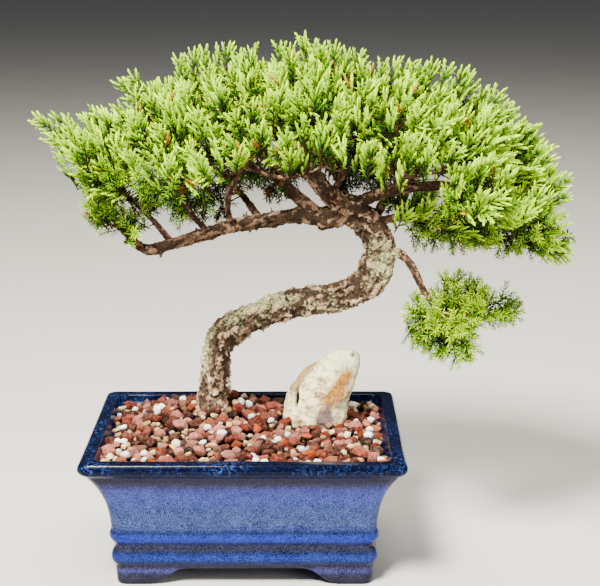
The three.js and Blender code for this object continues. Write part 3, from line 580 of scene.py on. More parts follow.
def strewn(name, spots, shapes, material, told):
    """Shapes strewn over spots (x, y, z in metres), one mesh. told holds each spot's sort, turn and
    size, and what its material reads."""
    mesh = bpy.data.meshes.new(name + "_spots")
    mesh.from_pydata([tuple(p) for p in spots], [], [])
    as_vector = ("FLOAT_VECTOR", "vector")
    kinds = {"sort": ("INT", "value"), "turn": as_vector, "size": as_vector}
    for key, values in told.items():
        values = np.array(values)
        kind, field = kinds.get(key, ("FLOAT_COLOR", "color") if values.ndim > 1 else ("FLOAT", "value"))
        attribute = mesh.attributes.new(key, kind, "POINT")
        attribute.data.foreach_set(field, values.astype(np.int32 if kind == "INT" else np.float32).ravel())
    carrier = bpy.data.objects.new(name + "_spots", mesh)
    bpy.context.scene.collection.objects.link(carrier)
    made = grown(name, strewing, {"Shapes": shapes, "Finish": material}, carrier)
    for key in ("sort", "turn", "size"):
        if key in made.data.attributes:
            made.data.attributes.remove(made.data.attributes[key])
    return made


def told_of(tree, name, kind="Fac"):
    """What the points of a piece were told under a name, for its material."""
    return add(tree, "ShaderNodeAttribute", attribute_name=name).outputs[kind]


def drop_stones(dice):
    """Stones at rest on the soil and on each other: place, radius, palette and roundness of each."""
    settled = np.zeros((0, 4))
    kinds = []
    room = [half - GRAVEL_INSET for half in pot_half]
    for number, least, most, palette, round_one in DROPS:
        for _ in range(number):
            radius = dice.uniform(least, most)
            spread = [half - radius * 0.9 for half in room]
            spots = np.array([[dice.uniform(-1, 1) * half for half in spread] for _ in range(TRIES)])
            ground = soil_height(spots[:, 0], spots[:, 1])
            rest = ground - BED_DEPTH + radius * 0.5
            if len(settled):
                away = np.hypot(spots[:, None, 0] - settled[:, 0], spots[:, None, 1] - settled[:, 1])
                reach = (settled[:, 3] + radius) * PACKING
                lift = settled[:, 2] + np.sqrt(np.maximum(reach ** 2 - away ** 2, 0))
                rest = np.maximum(rest, np.where(away < reach, lift, -1e3).max(axis=1))
            over = rest + radius * 0.7 - ground - GRAVEL_RISE
            for middle, halves in STANDING:
                off = (spots - middle) / (np.array(halves) + radius * 0.5)
                over = np.where(np.hypot(off[:, 0], off[:, 1]) < 1, 1e3, over)
            best = int(over.argmin())
            if over[best] < HEAP_LIMIT:
                settled = np.vstack([settled, [*spots[best], rest[best], radius]])
                kinds.append((palette, round_one))
    return settled, kinds


soil, tree, shader = finish("soil", Roughness=0.95)
place = place_of(tree)
tree.links.new(
    ramp(tree, cloud(tree, place, 2.2, 4, 0.7), [(0.3, "#0E0907"), (0.55, "#20150F"), (0.75, "#3A281C")]),
    shader.inputs["Base Color"],
)
relief(tree, shader, cloud(tree, place, 1.4, 3), 0.8)
soil_rows = soil_points()
soil_faces = []
count = len(soil_rows[0])
for row in range(len(soil_rows) - 2):
    for i in range(count):
        near, next_near = row * count + i, row * count + (i + 1) % count
        soil_faces.append((near, next_near, next_near + count, near + count))
flat_soil = [point for row in soil_rows[:-1] for point in row]
flat_soil.append(soil_rows[-1][0])
top_start = (len(soil_rows) - 2) * count
soil_faces += [(top_start + i, top_start + (i + 1) % count, len(flat_soil) - 1) for i in range(count)]
soil_faces.append(tuple(range(count - 1, -1, -1)))
soil_bed = piece("soil_bed", placed(flat_soil), soil_faces, soil)
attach(soil_bed, "root")
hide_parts("soil_and_gravel")

stone_skin, tree, shader = finish("gravel_stone", Roughness=0.9, **{"Specular IOR Level": 0.12})
place = place_of(tree)
own = told_of(tree, "stone_colour", "Color")
pores = add(tree, "ShaderNodeTexVoronoi", {"Vector": place, "Scale": 1 / (1.1 * MM)}).outputs[0]
pitted = span(tree, pores, 0.12, 0.38)
patchy = cloud(tree, place, 2.4, 3, 0.65)
dusty = mix(tree, span(tree, patchy, 0.45, 0.75, 0, 0.3), own, paint("#C08464"))
porous = told_of(tree, "porous")
in_pores = times(tree, span(tree, pitted, 0, 1, 0.85, 0), porous)
shaded = mix(tree, in_pores, dusty, paint("#2A1814"), "MULTIPLY")
# Painted shade: each stone is darkened the deeper its points lie below the gravel's top, as the shade
# between and under the stones.
top_level = told_of(tree, "top_level")
height = add(tree, "ShaderNodeSeparateXYZ", {0: place}).outputs[2]
sunk = sum_of(tree, top_level, times(tree, height, -1))
shaded = mix(tree, span(tree, sunk, -1 * MM, 4.5 * MM, 0, 0.97), shaded, paint("#1C0C08"), "MULTIPLY")
tree.links.new(shaded, shader.inputs["Base Color"])
relief(tree, shader, sum_of(tree, times(tree, pitted, porous), patchy), 0.6, 0.9)

strewing = strew_tree()
dice = random.Random(21)
stones, stone_kinds = drop_stones(dice)
gravel_shapes = bpy.data.collections.new("gravel_shapes")
for i in range(STONE_SHAPES):
    angular = i < STONE_SHAPES - ROUND_SHAPES
    corners, wobble, flatness = (20, 0.32, 0.78) if angular else (22, 0.16, 0.85)
    gravel_shapes.objects.link(pebble(f"pebble_{i:02d}", corners, wobble, flatness, i))
told = {"sort": [], "turn": [], "size": [], "stone_colour": [], "porous": [], "top_level": []}
for (x, y, z, radius), (palette, round_one) in zip(stones, stone_kinds):
    if round_one:
        told["sort"].append(STONE_SHAPES - 1 - dice.randrange(ROUND_SHAPES))
    else:
        told["sort"].append(dice.randrange(STONE_SHAPES - ROUND_SHAPES))
    told["turn"].append([dice.uniform(-0.7, 0.7), dice.uniform(-0.7, 0.7), dice.uniform(0, 6.28)])
    told["size"].append([radius * MM * dice.uniform(0.84, 1.2) for _ in range(3)])
    told["top_level"].append((float(soil_height(x, y)) + GRAVEL_RISE) * MM + pot_middle.z)
    shade = dice.uniform(0.55, 1.25)
    told["stone_colour"].append([min(v * shade, 1) for v in paint(dice.choice(palette))[:3]] + [1])
    told["porous"].append(0.25 if palette in (PERLITE, GRIT) else 1.0)
gravel = strewn("loose_gravel", placed(stones[:, :3]), gravel_shapes, stone_skin, told)
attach(gravel, "root")
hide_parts("soil_and_gravel")


# The standing stone: a weathered slab set on end in the gravel behind the middle of the pot. Its
# face is cream with a mint bloom at the top, a rusty seam runs down it, and a grey-violet patch, a
# slit and small pits show lower down. The slit and the pits are painted near-black, as painted shade
# inside them.
STONE_GRAIN = 0.8


def merged_copy(node):
    """The points and faces of a CAD node with its loose triangles joined, in metres."""
    body = bmesh.new()
    body.from_mesh(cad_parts[node].data)
    bmesh.ops.remove_doubles(body, verts=body.verts, dist=1e-6)
    points = [v.co.copy() for v in body.verts]
    faces = [[v.index for v in f.verts] for f in body.faces]
    body.free()
    return points, faces


def evened(name, points, faces, grain_mm, material, smoothing):
    """A piece of even small faces over closed forms, which it joins where they run through each other."""
    rough = piece(name + "_rough", points, faces, material)
    skin = rough.modifiers.new("even", "REMESH")
    skin.mode = "VOXEL"
    skin.voxel_size = grain_mm * MM
    ease = rough.modifiers.new("ease", "SMOOTH")
    ease.iterations = smoothing
    ease.factor = 0.5
    graph = bpy.context.evaluated_depsgraph_get()
    mesh = bpy.data.meshes.new_from_object(rough.evaluated_get(graph), depsgraph=graph)
    bpy.data.objects.remove(rough)
    mesh.name = name
    mesh.materials.clear()
    mesh.materials.append(material)
    mesh.polygons.foreach_set("use_smooth", [True] * len(mesh.polygons))
    made = bpy.data.objects.new(name, mesh)
    bpy.context.scene.collection.objects.link(made)
    return made


def skin_of(made):
    """Each point of a piece and the way that its surface faces there."""
    count = len(made.data.vertices)
    spots, facings = np.empty(count * 3, np.float32), np.empty(count * 3, np.float32)
    made.data.vertices.foreach_get("co", spots)
    made.data.vertices.foreach_get("normal", facings)
    return [(Vector(p), Vector(n)) for p, n in zip(spots.reshape(-1, 3), facings.reshape(-1, 3))]


def set_points(made, points):
    """Moves the points of a piece to new places."""
    made.data.vertices.foreach_set("co", np.array(points, np.float32).ravel())
    made.data.update()


def told_on(made, **fields):
    """Writes a value for each point of a piece, for its material to read."""
    for name, values in fields.items():
        attribute = made.data.attributes.new(name, "FLOAT", "POINT")
        attribute.data.foreach_set("value", np.array(values, np.float32))


def eased(value, low, high):
    """A value between low and high as a share from 0 to 1 with soft ends."""
    share = min(max((value - low) / (high - low), 0), 1)
    return share * share * (3 - 2 * share)


def near_to(place, spot, size):
    """How near a place is to a spot, from 0 far away to 1 on it, for a patch of some size."""
    return math.exp(-sum(((a - b) / s) ** 2 for a, b, s in zip(place, spot, size)))


stone_face, tree, shader = finish("weathered_stone", Roughness=0.75, **{"Specular IOR Level": 0.12})
place = place_of(tree)
veins = cloud(tree, place, 7, 6, 0.62, 1.4)
grit = cloud(tree, place, 1.3, 4, 0.7)
stone_colour = ramp(tree, veins, [
    (0.3, "#BC9C50"), (0.39, "#F4DE94"), (0.46, "#FFF8C4"), (0.56, "#FFFFDC"), (0.65, "#FAECAC"),
    (0.75, "#C8AA64"),
])
ragged = span(tree, veins, 0.3, 0.7, -0.3, 0.3)
gritty = span(tree, grit, 0.3, 0.7, -0.12, 0.12)
for field, one, other, most in [
    ("mint", "#B4DCC0", "#D8F0D0", 0.75), ("brown", "#6E5028", "#B08848", 0.85),
    ("rust", "#E09C30", "#643006", 0.95), ("violet", "#8A7876", "#5A4A50", 0.95),
    # The last tint is painted shade: near-black in the carved slit and hole.
    ("painted_pit_shade", "#0E0B09", "#0E0B09", 1.0),
]:
    share = told_of(tree, field)
    if field != "painted_pit_shade":
        share = sum_of(tree, share, ragged, gritty)
    tint = ramp(tree, grit, [(0.35, one), (0.65, other)])
    stone_colour = mix(tree, span(tree, share, 0.12, 0.75, 0, most), stone_colour, tint)
stretched = add(tree, "ShaderNodeMapping", {0: place, 2: (0, 0.5, 0), 3: (1, 1, 0.5)}).outputs[0]
inputs = {"Vector": stretched, "Scale": 1 / (10 * MM)}
cracks = add(tree, "ShaderNodeTexVoronoi", inputs, feature="DISTANCE_TO_EDGE").outputs[0]
cracked = span(tree, sum_of(tree, cracks, span(tree, veins, 0.3, 0.7, -0.03, 0.08)), 0.0, 0.035)
stone_colour = mix(tree, span(tree, cracked, 0, 1, 0.5, 0), stone_colour, paint("#6A5B3E"))
stone_colour = mix(tree, span(tree, grit, 0.3, 0.5, 0.8, 0), stone_colour, paint("#A8946C"), "MULTIPLY")
tree.links.new(stone_colour, shader.inputs["Base Color"])
relief(tree, shader, sum_of(tree, grit, veins, cracked), 0.6, 0.8)

standing_stone = evened("standing_slab", *merged_copy("standing_stone"), STONE_GRAIN, stone_face, 12)
tints = {"mint": [], "rust": [], "violet": [], "brown": [], "painted_pit_shade": []}
carved = []
for point, facing in skin_of(standing_stone):
    spot = (point - pot_middle) / MM
    x, y, z = spot
    ridge = noise.ridged_multi_fractal(spot / 26, 1.0, 2.1, 3, 0.9, 2.0)
    lumps = noise.fractal(spot / 9, 1.0, 2.0, 4)
    steps = abs((z * 0.8 + x * 0.5 + 3 * lumps) / 7 % 1 - 0.5)
    slit = near_to((x, z), (33.8 + (z - 96) * 0.16, 96), (1.2, 5.6)) if y < 24 else 0
    hole = near_to((x, y, z), (71.5, 14, 125), (1.7, 9, 1.6))
    carve = ridge * 0.5 - 0.2 + lumps * 0.7 + steps * 0.9 - 4 * slit - 2 * hole
    carve += 1.9 * eased(z, 92, 112) * min(max(0.6 - facing.y, 0), 1)
    carved.append(point + facing * MM * carve)
    waver = noise.fractal(spot / 9, 1.0, 2.0, 4)
    warped = spot + Vector((1, 0, 1)) * noise.noise(spot / 7) * 4
    down = min(max((115 - warped.z) / 23, 0), 1)
    seam = near_to((warped.x - 68 + 14 * down, warped.z - 102), (0, 0), (6.2 + 2 * down, 19))
    tints["mint"].append(near_to((warped.x, warped.z), (70, 120), (11, 9)) * 0.95 + waver * 0.3)
    tints["rust"].append(seam * 1.15 + waver * 0.3)
    violet = near_to((warped.x - 0.2 * warped.z, warped.z), (38, 84), (7, 9))
    tints["violet"].append(violet * (1.2 if y < 26 else 0.6) + waver * 0.45)
    edge = near_to((warped.x - 0.85 * warped.z,), (-55,), (3.5,)) * (1 if z > 100 else 0.35)
    tints["brown"].append(edge + waver * 0.5 + 0.25 * (y > 30))
    # Painted shade: the carved slit and hole are painted near-black.
    tints["painted_pit_shade"].append(slit * 1.3 + hole * 1.1)
set_points(standing_stone, carved)
told_on(standing_stone, **tints)
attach(standing_stone, "root")
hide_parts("standing_stone")


# The tree's wood: one old trunk that slants away from its foot, turns up and back at the right and
# forks into the crown's limbs and twigs. Its bark is grey-brown and splits into small flaking plates,
# pale lichen grows on its upper sides, and the young wood is thinner-skinned and redder.
LIMBS = {
    "trunk": (None, [
        (-28, 34, 52, 4), (-26, 33.5, 72, 10), (-25, 33, 88, 10.6), (-22.5, 33, 104, 10.3),
        (-21, 32, 121, 10), (-15, 30, 136.5, 10.9), (-4, 27, 146.5, 10.3), (9, 24, 153, 9.9),
        (27, 21, 160, 10.1), (48, 18, 164.5, 10), (64, 15, 168.8, 10.3), (79, 12, 175.2, 10.5),
        (87, 10, 187, 10), (88.5, 9, 198, 9.7), (86, 8, 210, 10), (80, 8, 219, 10), (70, 8, 227, 9),
    ]),
    "long left limb": ("left_end", [
        (74, 8, 226, 7), (62, 7, 225, 7), (51, 6, 223, 7), (36, 4, 224.5, 5.3), (10, 0, 221.7, 5),
        (-12, -4, 218, 4.6), (-28, -8, 214, 4.2), (-47, -12, 209, 3.8), (-62, -14, 205.5, 4),
        (-69, -15, 210, 2.9), (-76, -16, 218, 2.3), (-86, -16, 230, 2),
    ]),
    "centre limb": ("ridge_4", [
        (70, 8, 225, 6.4), (52, 2, 242, 5.8), (41, -6, 258, 5), (36, -10, 271, 4), (32, -6, 290, 2.6),
    ]),
    "left root": (None, [(-24, 33, 93, 5), (-35, 29, 79, 4), (-40, 26, 60, 2)]),
    "front root": (None, [(-25, 33, 93, 5), (-16, 26, 79, 4), (-12, 22, 60, 2)]),
    "back root": (None, [(-25, 32, 93, 5), (-24, 43, 79, 4), (-22, 48, 60, 2)]),
    "centre fork": ("front_4", [(38, -8, 264, 2.6), (46, -18, 270, 2.2), (50, -26, 282, 1.8)]),
    "back left limb": ("back_2", [
        (46, 5, 226, 5), (36, 8, 235, 4.6), (28, 14, 241, 4), (21, 22, 252, 3.2), (0, 34, 266, 2.3),
    ]),
    "right limb": ("ridge_7", [
        (68, 8, 227, 5.2), (77, 6, 234, 4.5), (91, 0, 240.5, 4), (105, -6, 245, 3.8),
        (121, -10, 246.5, 3.6), (137, -10, 247, 3), (152, -4, 256, 2.2),
    ]),
    "sagging twig": ("front_6", [
        (56, 2, 239, 2.6), (70, -18, 262, 2.2), (88, -34, 267, 2), (106, -40, 261, 1.9),
        (124, -42, 262, 1.8),
    ]),
    "low right limb": ("right_end", [
        (82, 9, 219, 3.4), (103, 6, 223, 2.7), (116, 2, 223.5, 2.4), (129, 0, 217, 2.2),
        (142, 4, 210, 2), (155, 4, 207, 1.9), (172, 0, 210, 1.7),
    ]),
    "back right limb": ("back_6", [(82, 9, 217, 3.8), (94, 28, 232, 3), (112, 42, 248, 2.4)]),
    "back limb": ("rearmost_3", [(70, 10, 226, 3.8), (62, 36, 242, 3), (56, 58, 254, 2.4)]),
    "left back twig": ("rearmost_1", [(12, 0, 220, 3), (0, 22, 232, 2.5), (-18, 46, 246, 2.1)]),
    "first riser": ("foremost_2", [(-8, -3, 217, 2.4), (-10, -12, 232, 2.1), (-6, -36, 250, 1.8)]),
    "second riser": ("front_2", [(-22, -6, 214, 2.4), (-34, -14, 230, 2.1), (-42, -24, 250, 1.8)]),
    "third riser": ("ridge_1", [(-46, -11, 209, 2.4), (-60, -10, 226, 2.1), (-84, -2, 248, 1.7)]),
    "hanging limb": ("clump_far", [
        (86, 8, 200, 4), (98, 6, 200, 3.4), (105, 2, 196.5, 3), (110, -3, 190, 2.8),
        (115, -8, 180, 2.5), (126, -13, 166, 1.9), (140, -14, 162, 1.6),
    ]),
}
THICK_WOOD = ["trunk", "long left limb", "centre limb", "left root", "front root", "back root"]
KNOBS = [
    (70, 8, 227.5, 10.5), (52, 5, 220.5, 6.5), (-25, 33, 86, 11.5), (84, 7, 214, 9.5),
    (60, 8, 223.5, 7.5), (83.5, 9, 190, 9.5),
]
LINE_STEP = 1.6
TWIG_END = 1.05
TRUNK_GRAIN = 0.8
LIMB_GRAIN = 0.95

# The crown's line over the tree, the rows of tufts that hang from it, and the tufts below it.
CROWN_LINE = [
    (-140, 272), (-104, 273), (-68, 286), (-28, 302), (16, 313), (60, 303), (104, 297), (148, 285),
    (180, 260), (200, 238),
]
CROWN_ROWS = [
    ("foremost", -70, 38, [-42, 6, 54, 102, 146]),
    ("front", -33, 12, [-88, -46, 0, 46, 94, 140]),
    ("ridge", 6, 0, [-104, -66, -22, 24, 70, 116, 158]),
    ("back", 46, 16, [-84, -46, 0, 46, 92, 138]),
    ("rearmost", 84, 44, [-34, 10, 56, 102]),
]
LOW_TUFTS = {
    "left_end": (-98, -16, 244, 22), "left_droop": (-78, -28, 224, 18), "right_end": (184, -8, 226, 23),
    "right_tip": (184, 26, 250, 22), "right_low": (150, -20, 230, 21), "right_under": (118, 8, 229, 20),
    "right_back": (152, 42, 222, 22), "clump_near": (114, -14, 160, 18), "clump_top": (138, -4, 175, 16),
    "clump_far": (160, -14, 165, 18), "clump_low": (137, -20, 147, 18),
}
TUFT_RADIUS = 24
TUFT_WANDER = 4


def seeded(seed):
    """Seeded numbers from 0 to 1, the same that place the tufts of the solids."""
    state = seed
    low_bits = 0xFFFFFFFF

    def draw():
        nonlocal state
        state = (state + 0x6D2B79F5) & low_bits
        mixed = ((state ^ (state >> 15)) * (1 | state)) & low_bits
        mixed = ((mixed + (((mixed ^ (mixed >> 7)) * (61 | mixed)) & low_bits)) ^ mixed) & low_bits
        return ((mixed ^ (mixed >> 14)) & low_bits) / 4294967296

    return draw


def plan_tufts():
    """The middle and radius of each tuft of foliage by name, in millimetres about the pot."""
    draw = seeded(11)

    def wander():
        return -TUFT_WANDER + 2 * TUFT_WANDER * draw()

    plan = {}
    for row, y, drop, columns in CROWN_ROWS:
        for index, column in enumerate(columns):
            x = column + wander()
            aside = wander()
            z = float(np.interp(x, *zip(*CROWN_LINE))) - drop + wander()
            plan[f"{row}_{index + 1}"] = (Vector((x, y + aside, z)), TUFT_RADIUS)
    for name, (x, y, z, radius) in LOW_TUFTS.items():
        plan[name] = (Vector((x, y, z)), radius)
    return plan


def limb_line(path):
    """Points and radii along the smooth curve through a limb's path, a step apart."""
    points = [Vector(p[:3]) for p in path]
    ends = [points[0] * 2 - points[1], *points, points[-1] * 2 - points[-2]]
    line, radii = [points[0]], [path[0][3]]
    for i in range(len(points) - 1):
        before, start, stop, after = ends[i:i + 4]
        gaps = [math.sqrt((b - a).length) for a, b in ((before, start), (start, stop), (stop, after))]
        leave = (start - before) / gaps[0] - (stop - before) / (gaps[0] + gaps[1]) + (stop - start) / gaps[1]
        arrive = (stop - start) / gaps[1] - (after - start) / (gaps[1] + gaps[2]) + (after - stop) / gaps[2]
        leave, arrive = leave * gaps[1], arrive * gaps[1]
        steps = max(2, round((stop - start).length / LINE_STEP))
        for step in range(1, steps + 1):
            t = step / steps
            swing = start * 2 - stop * 2 + leave + arrive
            sway = stop * 3 - start * 3 - leave * 2 - arrive
            line.append(start + leave * t + sway * t * t + swing * t ** 3)
            radii.append(path[i][3] + (path[i + 1][3] - path[i][3]) * t)
    return line, radii


def limb_frames(line):
    """Tangent, side and across vectors at each point of a line, carried on without twist."""
    frames = []
    side = None
    for i, point in enumerate(line):
        tangent = (line[min(i + 1, len(line) - 1)] - line[max(i - 1, 0)]).normalized()
        if side is None:
            side = tangent.cross(Vector((0, 1, 0.1))).normalized()
        side = (side - tangent * side.dot(tangent)).normalized()
        frames.append((tangent, side, tangent.cross(side)))
    return frames


def limb_skin(line, radii, sides, shift):
    """Points and faces of a limb's uneven skin, closed at both ends."""
    points, faces = [], []
    for i, (centre, radius, (tangent, side, across)) in enumerate(zip(line, radii, limb_frames(line))):
        for k in range(sides):
            angle = 2 * math.pi * k / sides
            out = side * math.cos(angle) + across * math.sin(angle)
            swell = 1 + 0.13 * noise.noise((centre + out * radius) / (radius * 1.5) + shift)
            swell += 0.07 * math.sin(3 * angle + i * LINE_STEP / 9)
            points.append(centre + out * radius * swell)
    for i in range(len(line) - 1):
        for k in range(sides):
            near, next_near = i * sides + k, i * sides + (k + 1) % sides
            faces.append((near, next_near, next_near + sides, near + sides))
    last = (len(line) - 1) * sides
    faces.append(tuple(range(sides - 1, -1, -1)))
    faces.append(tuple(range(last, last + sides)))
    return points, faces


def lump(place, radius, seed):
    """Points and faces of a lumpy ball of wood."""
    points, faces = [], []
    bands, sides = 9, 14
    for band in range(bands + 1):
        polar = math.pi * band / bands
        for k in range(sides if 0 < band < bands else 1):
            angle = 2 * math.pi * k / sides
            flat = math.sin(polar)
            out = Vector((flat * math.cos(angle), flat * math.sin(angle), math.cos(polar)))
            swell = 1 + 0.2 * noise.noise(out * 1.6 + Vector((seed, 0, 0)))
            points.append(Vector(place) + out * radius * swell)
    for band in range(bands):
        for k in range(sides):
            pair = (k, (k + 1) % sides)
            upper = [0, 0] if band == 0 else [1 + (band - 1) * sides + i for i in pair]
            lower = [1 + band * sides + i for i in pair] if band < bands - 1 else [len(points) - 1] * 2
            faces.append(tuple(dict.fromkeys((upper[0], lower[0], lower[1], upper[1]))))
    return points, faces


def gather(parts):
    """Several (points, faces) as one."""
    points, faces = [], []
    for some_points, some_faces in parts:
        faces += [tuple(i + len(points) for i in face) for face in some_faces]
        points += some_points
    return points, faces


def twig_paths(tufts, lines):
    """A twig for each tuft that no limb carries, from the nearest wood below it, nearest first."""
    buds = []
    for name, (line, _) in lines.items():
        if name not in ("trunk", "left root", "front root", "back root"):
            buds += line[len(line) // 6::3]
    carried = {into for into, _ in LIMBS.values()}
    waiting = {name: middle for name, (middle, _) in tufts.items() if name not in carried}
    paths = {}

    def best_bud(middle):
        return min(((bud - middle).length + 2 * max(0, bud.z - middle.z), i) for i, bud in enumerate(buds))

    while waiting:
        (_, spot), name = min((best_bud(middle), name) for name, middle in waiting.items())
        start, end = buds[spot], waiting.pop(name)
        sag = (start + end) / 2 - Vector((0, 0, 0.14 * (end - start).length))
        paths[f"twig to {name}"] = [(*start, 1.7), (*sag, 1.5), (*end, TWIG_END)]
        buds += limb_line(paths[f"twig to {name}"])[0][6:-6:3]
    return paths


tufts = plan_tufts()
wood_lines = {}
for name, (into, path) in LIMBS.items():
    led = path + ([(*tufts[into][0], TWIG_END)] if into else [])
    wood_lines[name] = limb_line(led)
for name, path in twig_paths(tufts, wood_lines).items():
    wood_lines[name] = limb_line(path)

bark, tree, shader = finish("juniper_bark", Roughness=0.88, **{"Specular IOR Level": 0.15})
place = place_of(tree)
fine = cloud(tree, place, 1.3, 4, 0.7)
broad = cloud(tree, place, 9, 3, 0.6)
told_plate = told_of(tree, "plate")
told_crevice = told_of(tree, "crevice")
told_lichen = told_of(tree, "lichen")
told_young = told_of(tree, "young_wood")
tone = sum_of(
    tree, times(tree, told_plate, 0.28), times(tree, fine, 0.6), span(tree, broad, 0.3, 0.7, -0.1, 0.1)
)
old_bark = ramp(tree, tone, [
    (0.26, "#44362A"), (0.37, "#725C4A"), (0.46, "#947A62"), (0.55, "#B89C7E"), (0.66, "#E6D0B0"),
])
young_bark = ramp(tree, tone, [(0.24, "#34221A"), (0.4, "#664838"), (0.54, "#98765E"), (0.68, "#D0AE90")])
bark_colour = mix(tree, told_young, old_bark, young_bark)
russet = span(tree, cloud(tree, place, 5, 3, 0.6), 0.6, 0.72, 0, 0.3)
bark_colour = mix(tree, russet, bark_colour, paint("#8E5238"))
lichen_colour = ramp(tree, fine, [(0.34, "#6E6E42"), (0.45, "#BCBA80"), (0.58, "#F6F2BC")])
ragged = span(tree, fine, 0.3, 0.7, -0.25, 0.25)
grown_over = span(tree, sum_of(tree, told_lichen, ragged), 0.25, 0.7, 0, 0.8)
bark_colour = mix(tree, grown_over, bark_colour, lichen_colour)
# Painted shade: the crevices between the bark's plates are darkened.
bark_colour = mix(tree, span(tree, told_crevice, 0.35, 0.95, 0, 0.8), bark_colour, paint("#30241A"))
told_shaded = told_of(tree, "shaded")
bark_colour = mix(tree, told_shaded, bark_colour, paint("#8A7464"), "MULTIPLY")
tree.links.new(bark_colour, shader.inputs["Base Color"])
relief(tree, shader, fine, 0.6, 0.9)

samples = []
for order, (name, (line, radii)) in enumerate(wood_lines.items()):
    along = 0
    for i, (centre, radius, vectors) in enumerate(zip(line, radii, limb_frames(line))):
        along += (centre - line[i - 1]).length if i else 0
        samples.append((centre, radius, along, order * 37.0, *vectors))
nearest_wood = kdtree.KDTree(len(samples))
for i, sample in enumerate(samples):
    nearest_wood.insert(sample[0], i)
nearest_wood.balance()


def give_bark(made, plate_mm, deepest):
    """Splits a piece's skin into plates with crevices between them, and tells its material of them."""
    fields = {"plate": [], "crevice": [], "lichen": [], "young_wood": [], "shaded": []}
    points = []
    for point, facing in skin_of(made):
        spot = (point - pot_middle) / MM
        found = nearest_wood.find_n(spot, 3)
        closest = min(found, key=lambda f: f[2] - samples[f[1]][1])[1]
        centre, radius, along, shift, tangent, side, across = samples[closest]
        off = spot - centre
        local = Vector((shift + (along + off.dot(tangent)) / 2.1, off.dot(side), off.dot(across))) / plate_mm
        local += Vector((0.5, 0.5, 0.5)) * noise.noise(spot / 2.4)
        distances, cells = noise.voronoi(local)
        raised = eased(distances[1] - distances[0], 0.0, 0.26)
        own = noise.cell(cells[0] * 13.7)
        depth = min(deepest, 0.1 * radius + 0.08)
        rough = noise.fractal(spot / 1.9, 1.0, 2.0, 3)
        points.append(point + facing * MM * depth * (raised * 0.9 + (own - 0.5) * 1.1 + 1.05 * rough - 0.6))
        on_trunk = near_to(spot, (2, 24, 156), (26, 30, 18)) * (0.45 + 0.6 * facing.z)
        on_trunk += near_to(spot, (88, 2, 194), (14, 14, 20)) * (0.42 - 0.3 * facing.y + 0.2 * facing.x)
        on_trunk += near_to(spot, (50, 14, 162), (26, 16, 10)) * 0.5
        on_trunk += near_to(spot, (-32, 30, 128), (9, 16, 24)) * (0.5 - 0.5 * facing.x)
        fields["lichen"].append(on_trunk + 0.42 * noise.noise(spot / 6) - 0.06)
        fields["plate"].append(own)
        fields["crevice"].append(1 - raised)
        fields["young_wood"].append(1 - eased(radius, 2.2, 6))
        under_crown = eased(spot.z, 212, 230) if spot.x > 62 else eased(spot.z, 190, 214)
        fields["shaded"].append(0.9 * under_crown * (0.75 - 0.25 * facing.z))
    set_points(made, points)
    told_on(made, **fields)


dice = random.Random(5)
stubs = []
for name, count, length in [("trunk", 22, 3.5), ("long left limb", 26, 3.2), ("centre limb", 12, 3)]:
    line, radii = wood_lines[name]
    frames = limb_frames(line)
    for _ in range(count):
        i = dice.randrange(len(line) // 5, len(line) - 8)
        angle = dice.uniform(0, 2 * math.pi)
        out = frames[i][1] * math.cos(angle) + frames[i][2] * math.sin(angle)
        way = (out + frames[i][0] * dice.uniform(-0.3, 0.9)).normalized()
        start = line[i] + out * radii[i] * 0.7
        reach = radii[i] * 0.3 + length * dice.uniform(0.5, 1.5)
        stubs.append(limb_skin(*limb_line([(*start, 1.3), (*(start + way * reach), 0.7)]), 6, Vector()))

thick_parts = [limb_skin(*wood_lines[name], 22, Vector((i, 0, 0))) for i, name in enumerate(THICK_WOOD)]
thick_parts += [lump(knob[:3], knob[3], i) for i, knob in enumerate(KNOBS)] + stubs
thick_points, thick_faces = gather(thick_parts)
trunk = evened("trunk_and_main_limbs", placed(thick_points), thick_faces, TRUNK_GRAIN, bark, 3)
give_bark(trunk, 3.2, 1.15)
slim_names = [name for name in wood_lines if name not in THICK_WOOD]
slim_parts = [limb_skin(*wood_lines[name], 12, Vector((i, 5, 0))) for i, name in enumerate(slim_names)]
slim_points, slim_faces = gather(slim_parts)
limbs = evened("slim_limbs_and_twigs", placed(slim_points), slim_faces, LIMB_GRAIN, bark, 2)
give_bark(limbs, 2.2, 0.4)
for wood in (trunk, limbs):
    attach(wood, "root")
    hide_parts("trunk_and_limbs")


# The foliage: on the crown the shoots are cords of tight scale leaves, side by side in upright plumes,
# bright yellow-green at the tips. Inside it, at its low ends and on the hanging limb they carry young
# needles. Long leaders stand out of the top and the ends, and a few inner shoots have died to brown.
CROWN_MIDDLE = Vector((38, 5, 225))
CROWN_HALF = Vector((178, 115, 110))
CLUMP_MIDDLE = Vector((136, -10, 162))
GOLDEN_ANGLE = math.pi * (3 - math.sqrt(5))
SHOOT_LENGTH = 15
PLUME_LENGTH = 30
CORDS, NEEDLED, STEM = 5, 4, 9
OPEN_UNDERNEATH = {
    "foremost_3": 0.45, "foremost_4": 0.45, "foremost_2": 0.1, "foremost_1": -0.3, "right_under": -0.5,
}
FEWER = {"left_droop": 0.4, "left_end": 0.85}
OUTER_PLUMES = 22
CLUMP_PLUMES = 20
INNER_PLUMES = {"foremost": 10, "front": 10, "clump": 0}
NEIGHBOURS = 58
LEFT_LOWEST = 222
LIFTS = (0.75, 0.45, 0.15, -0.2)
FOOT_DEPTH = 15
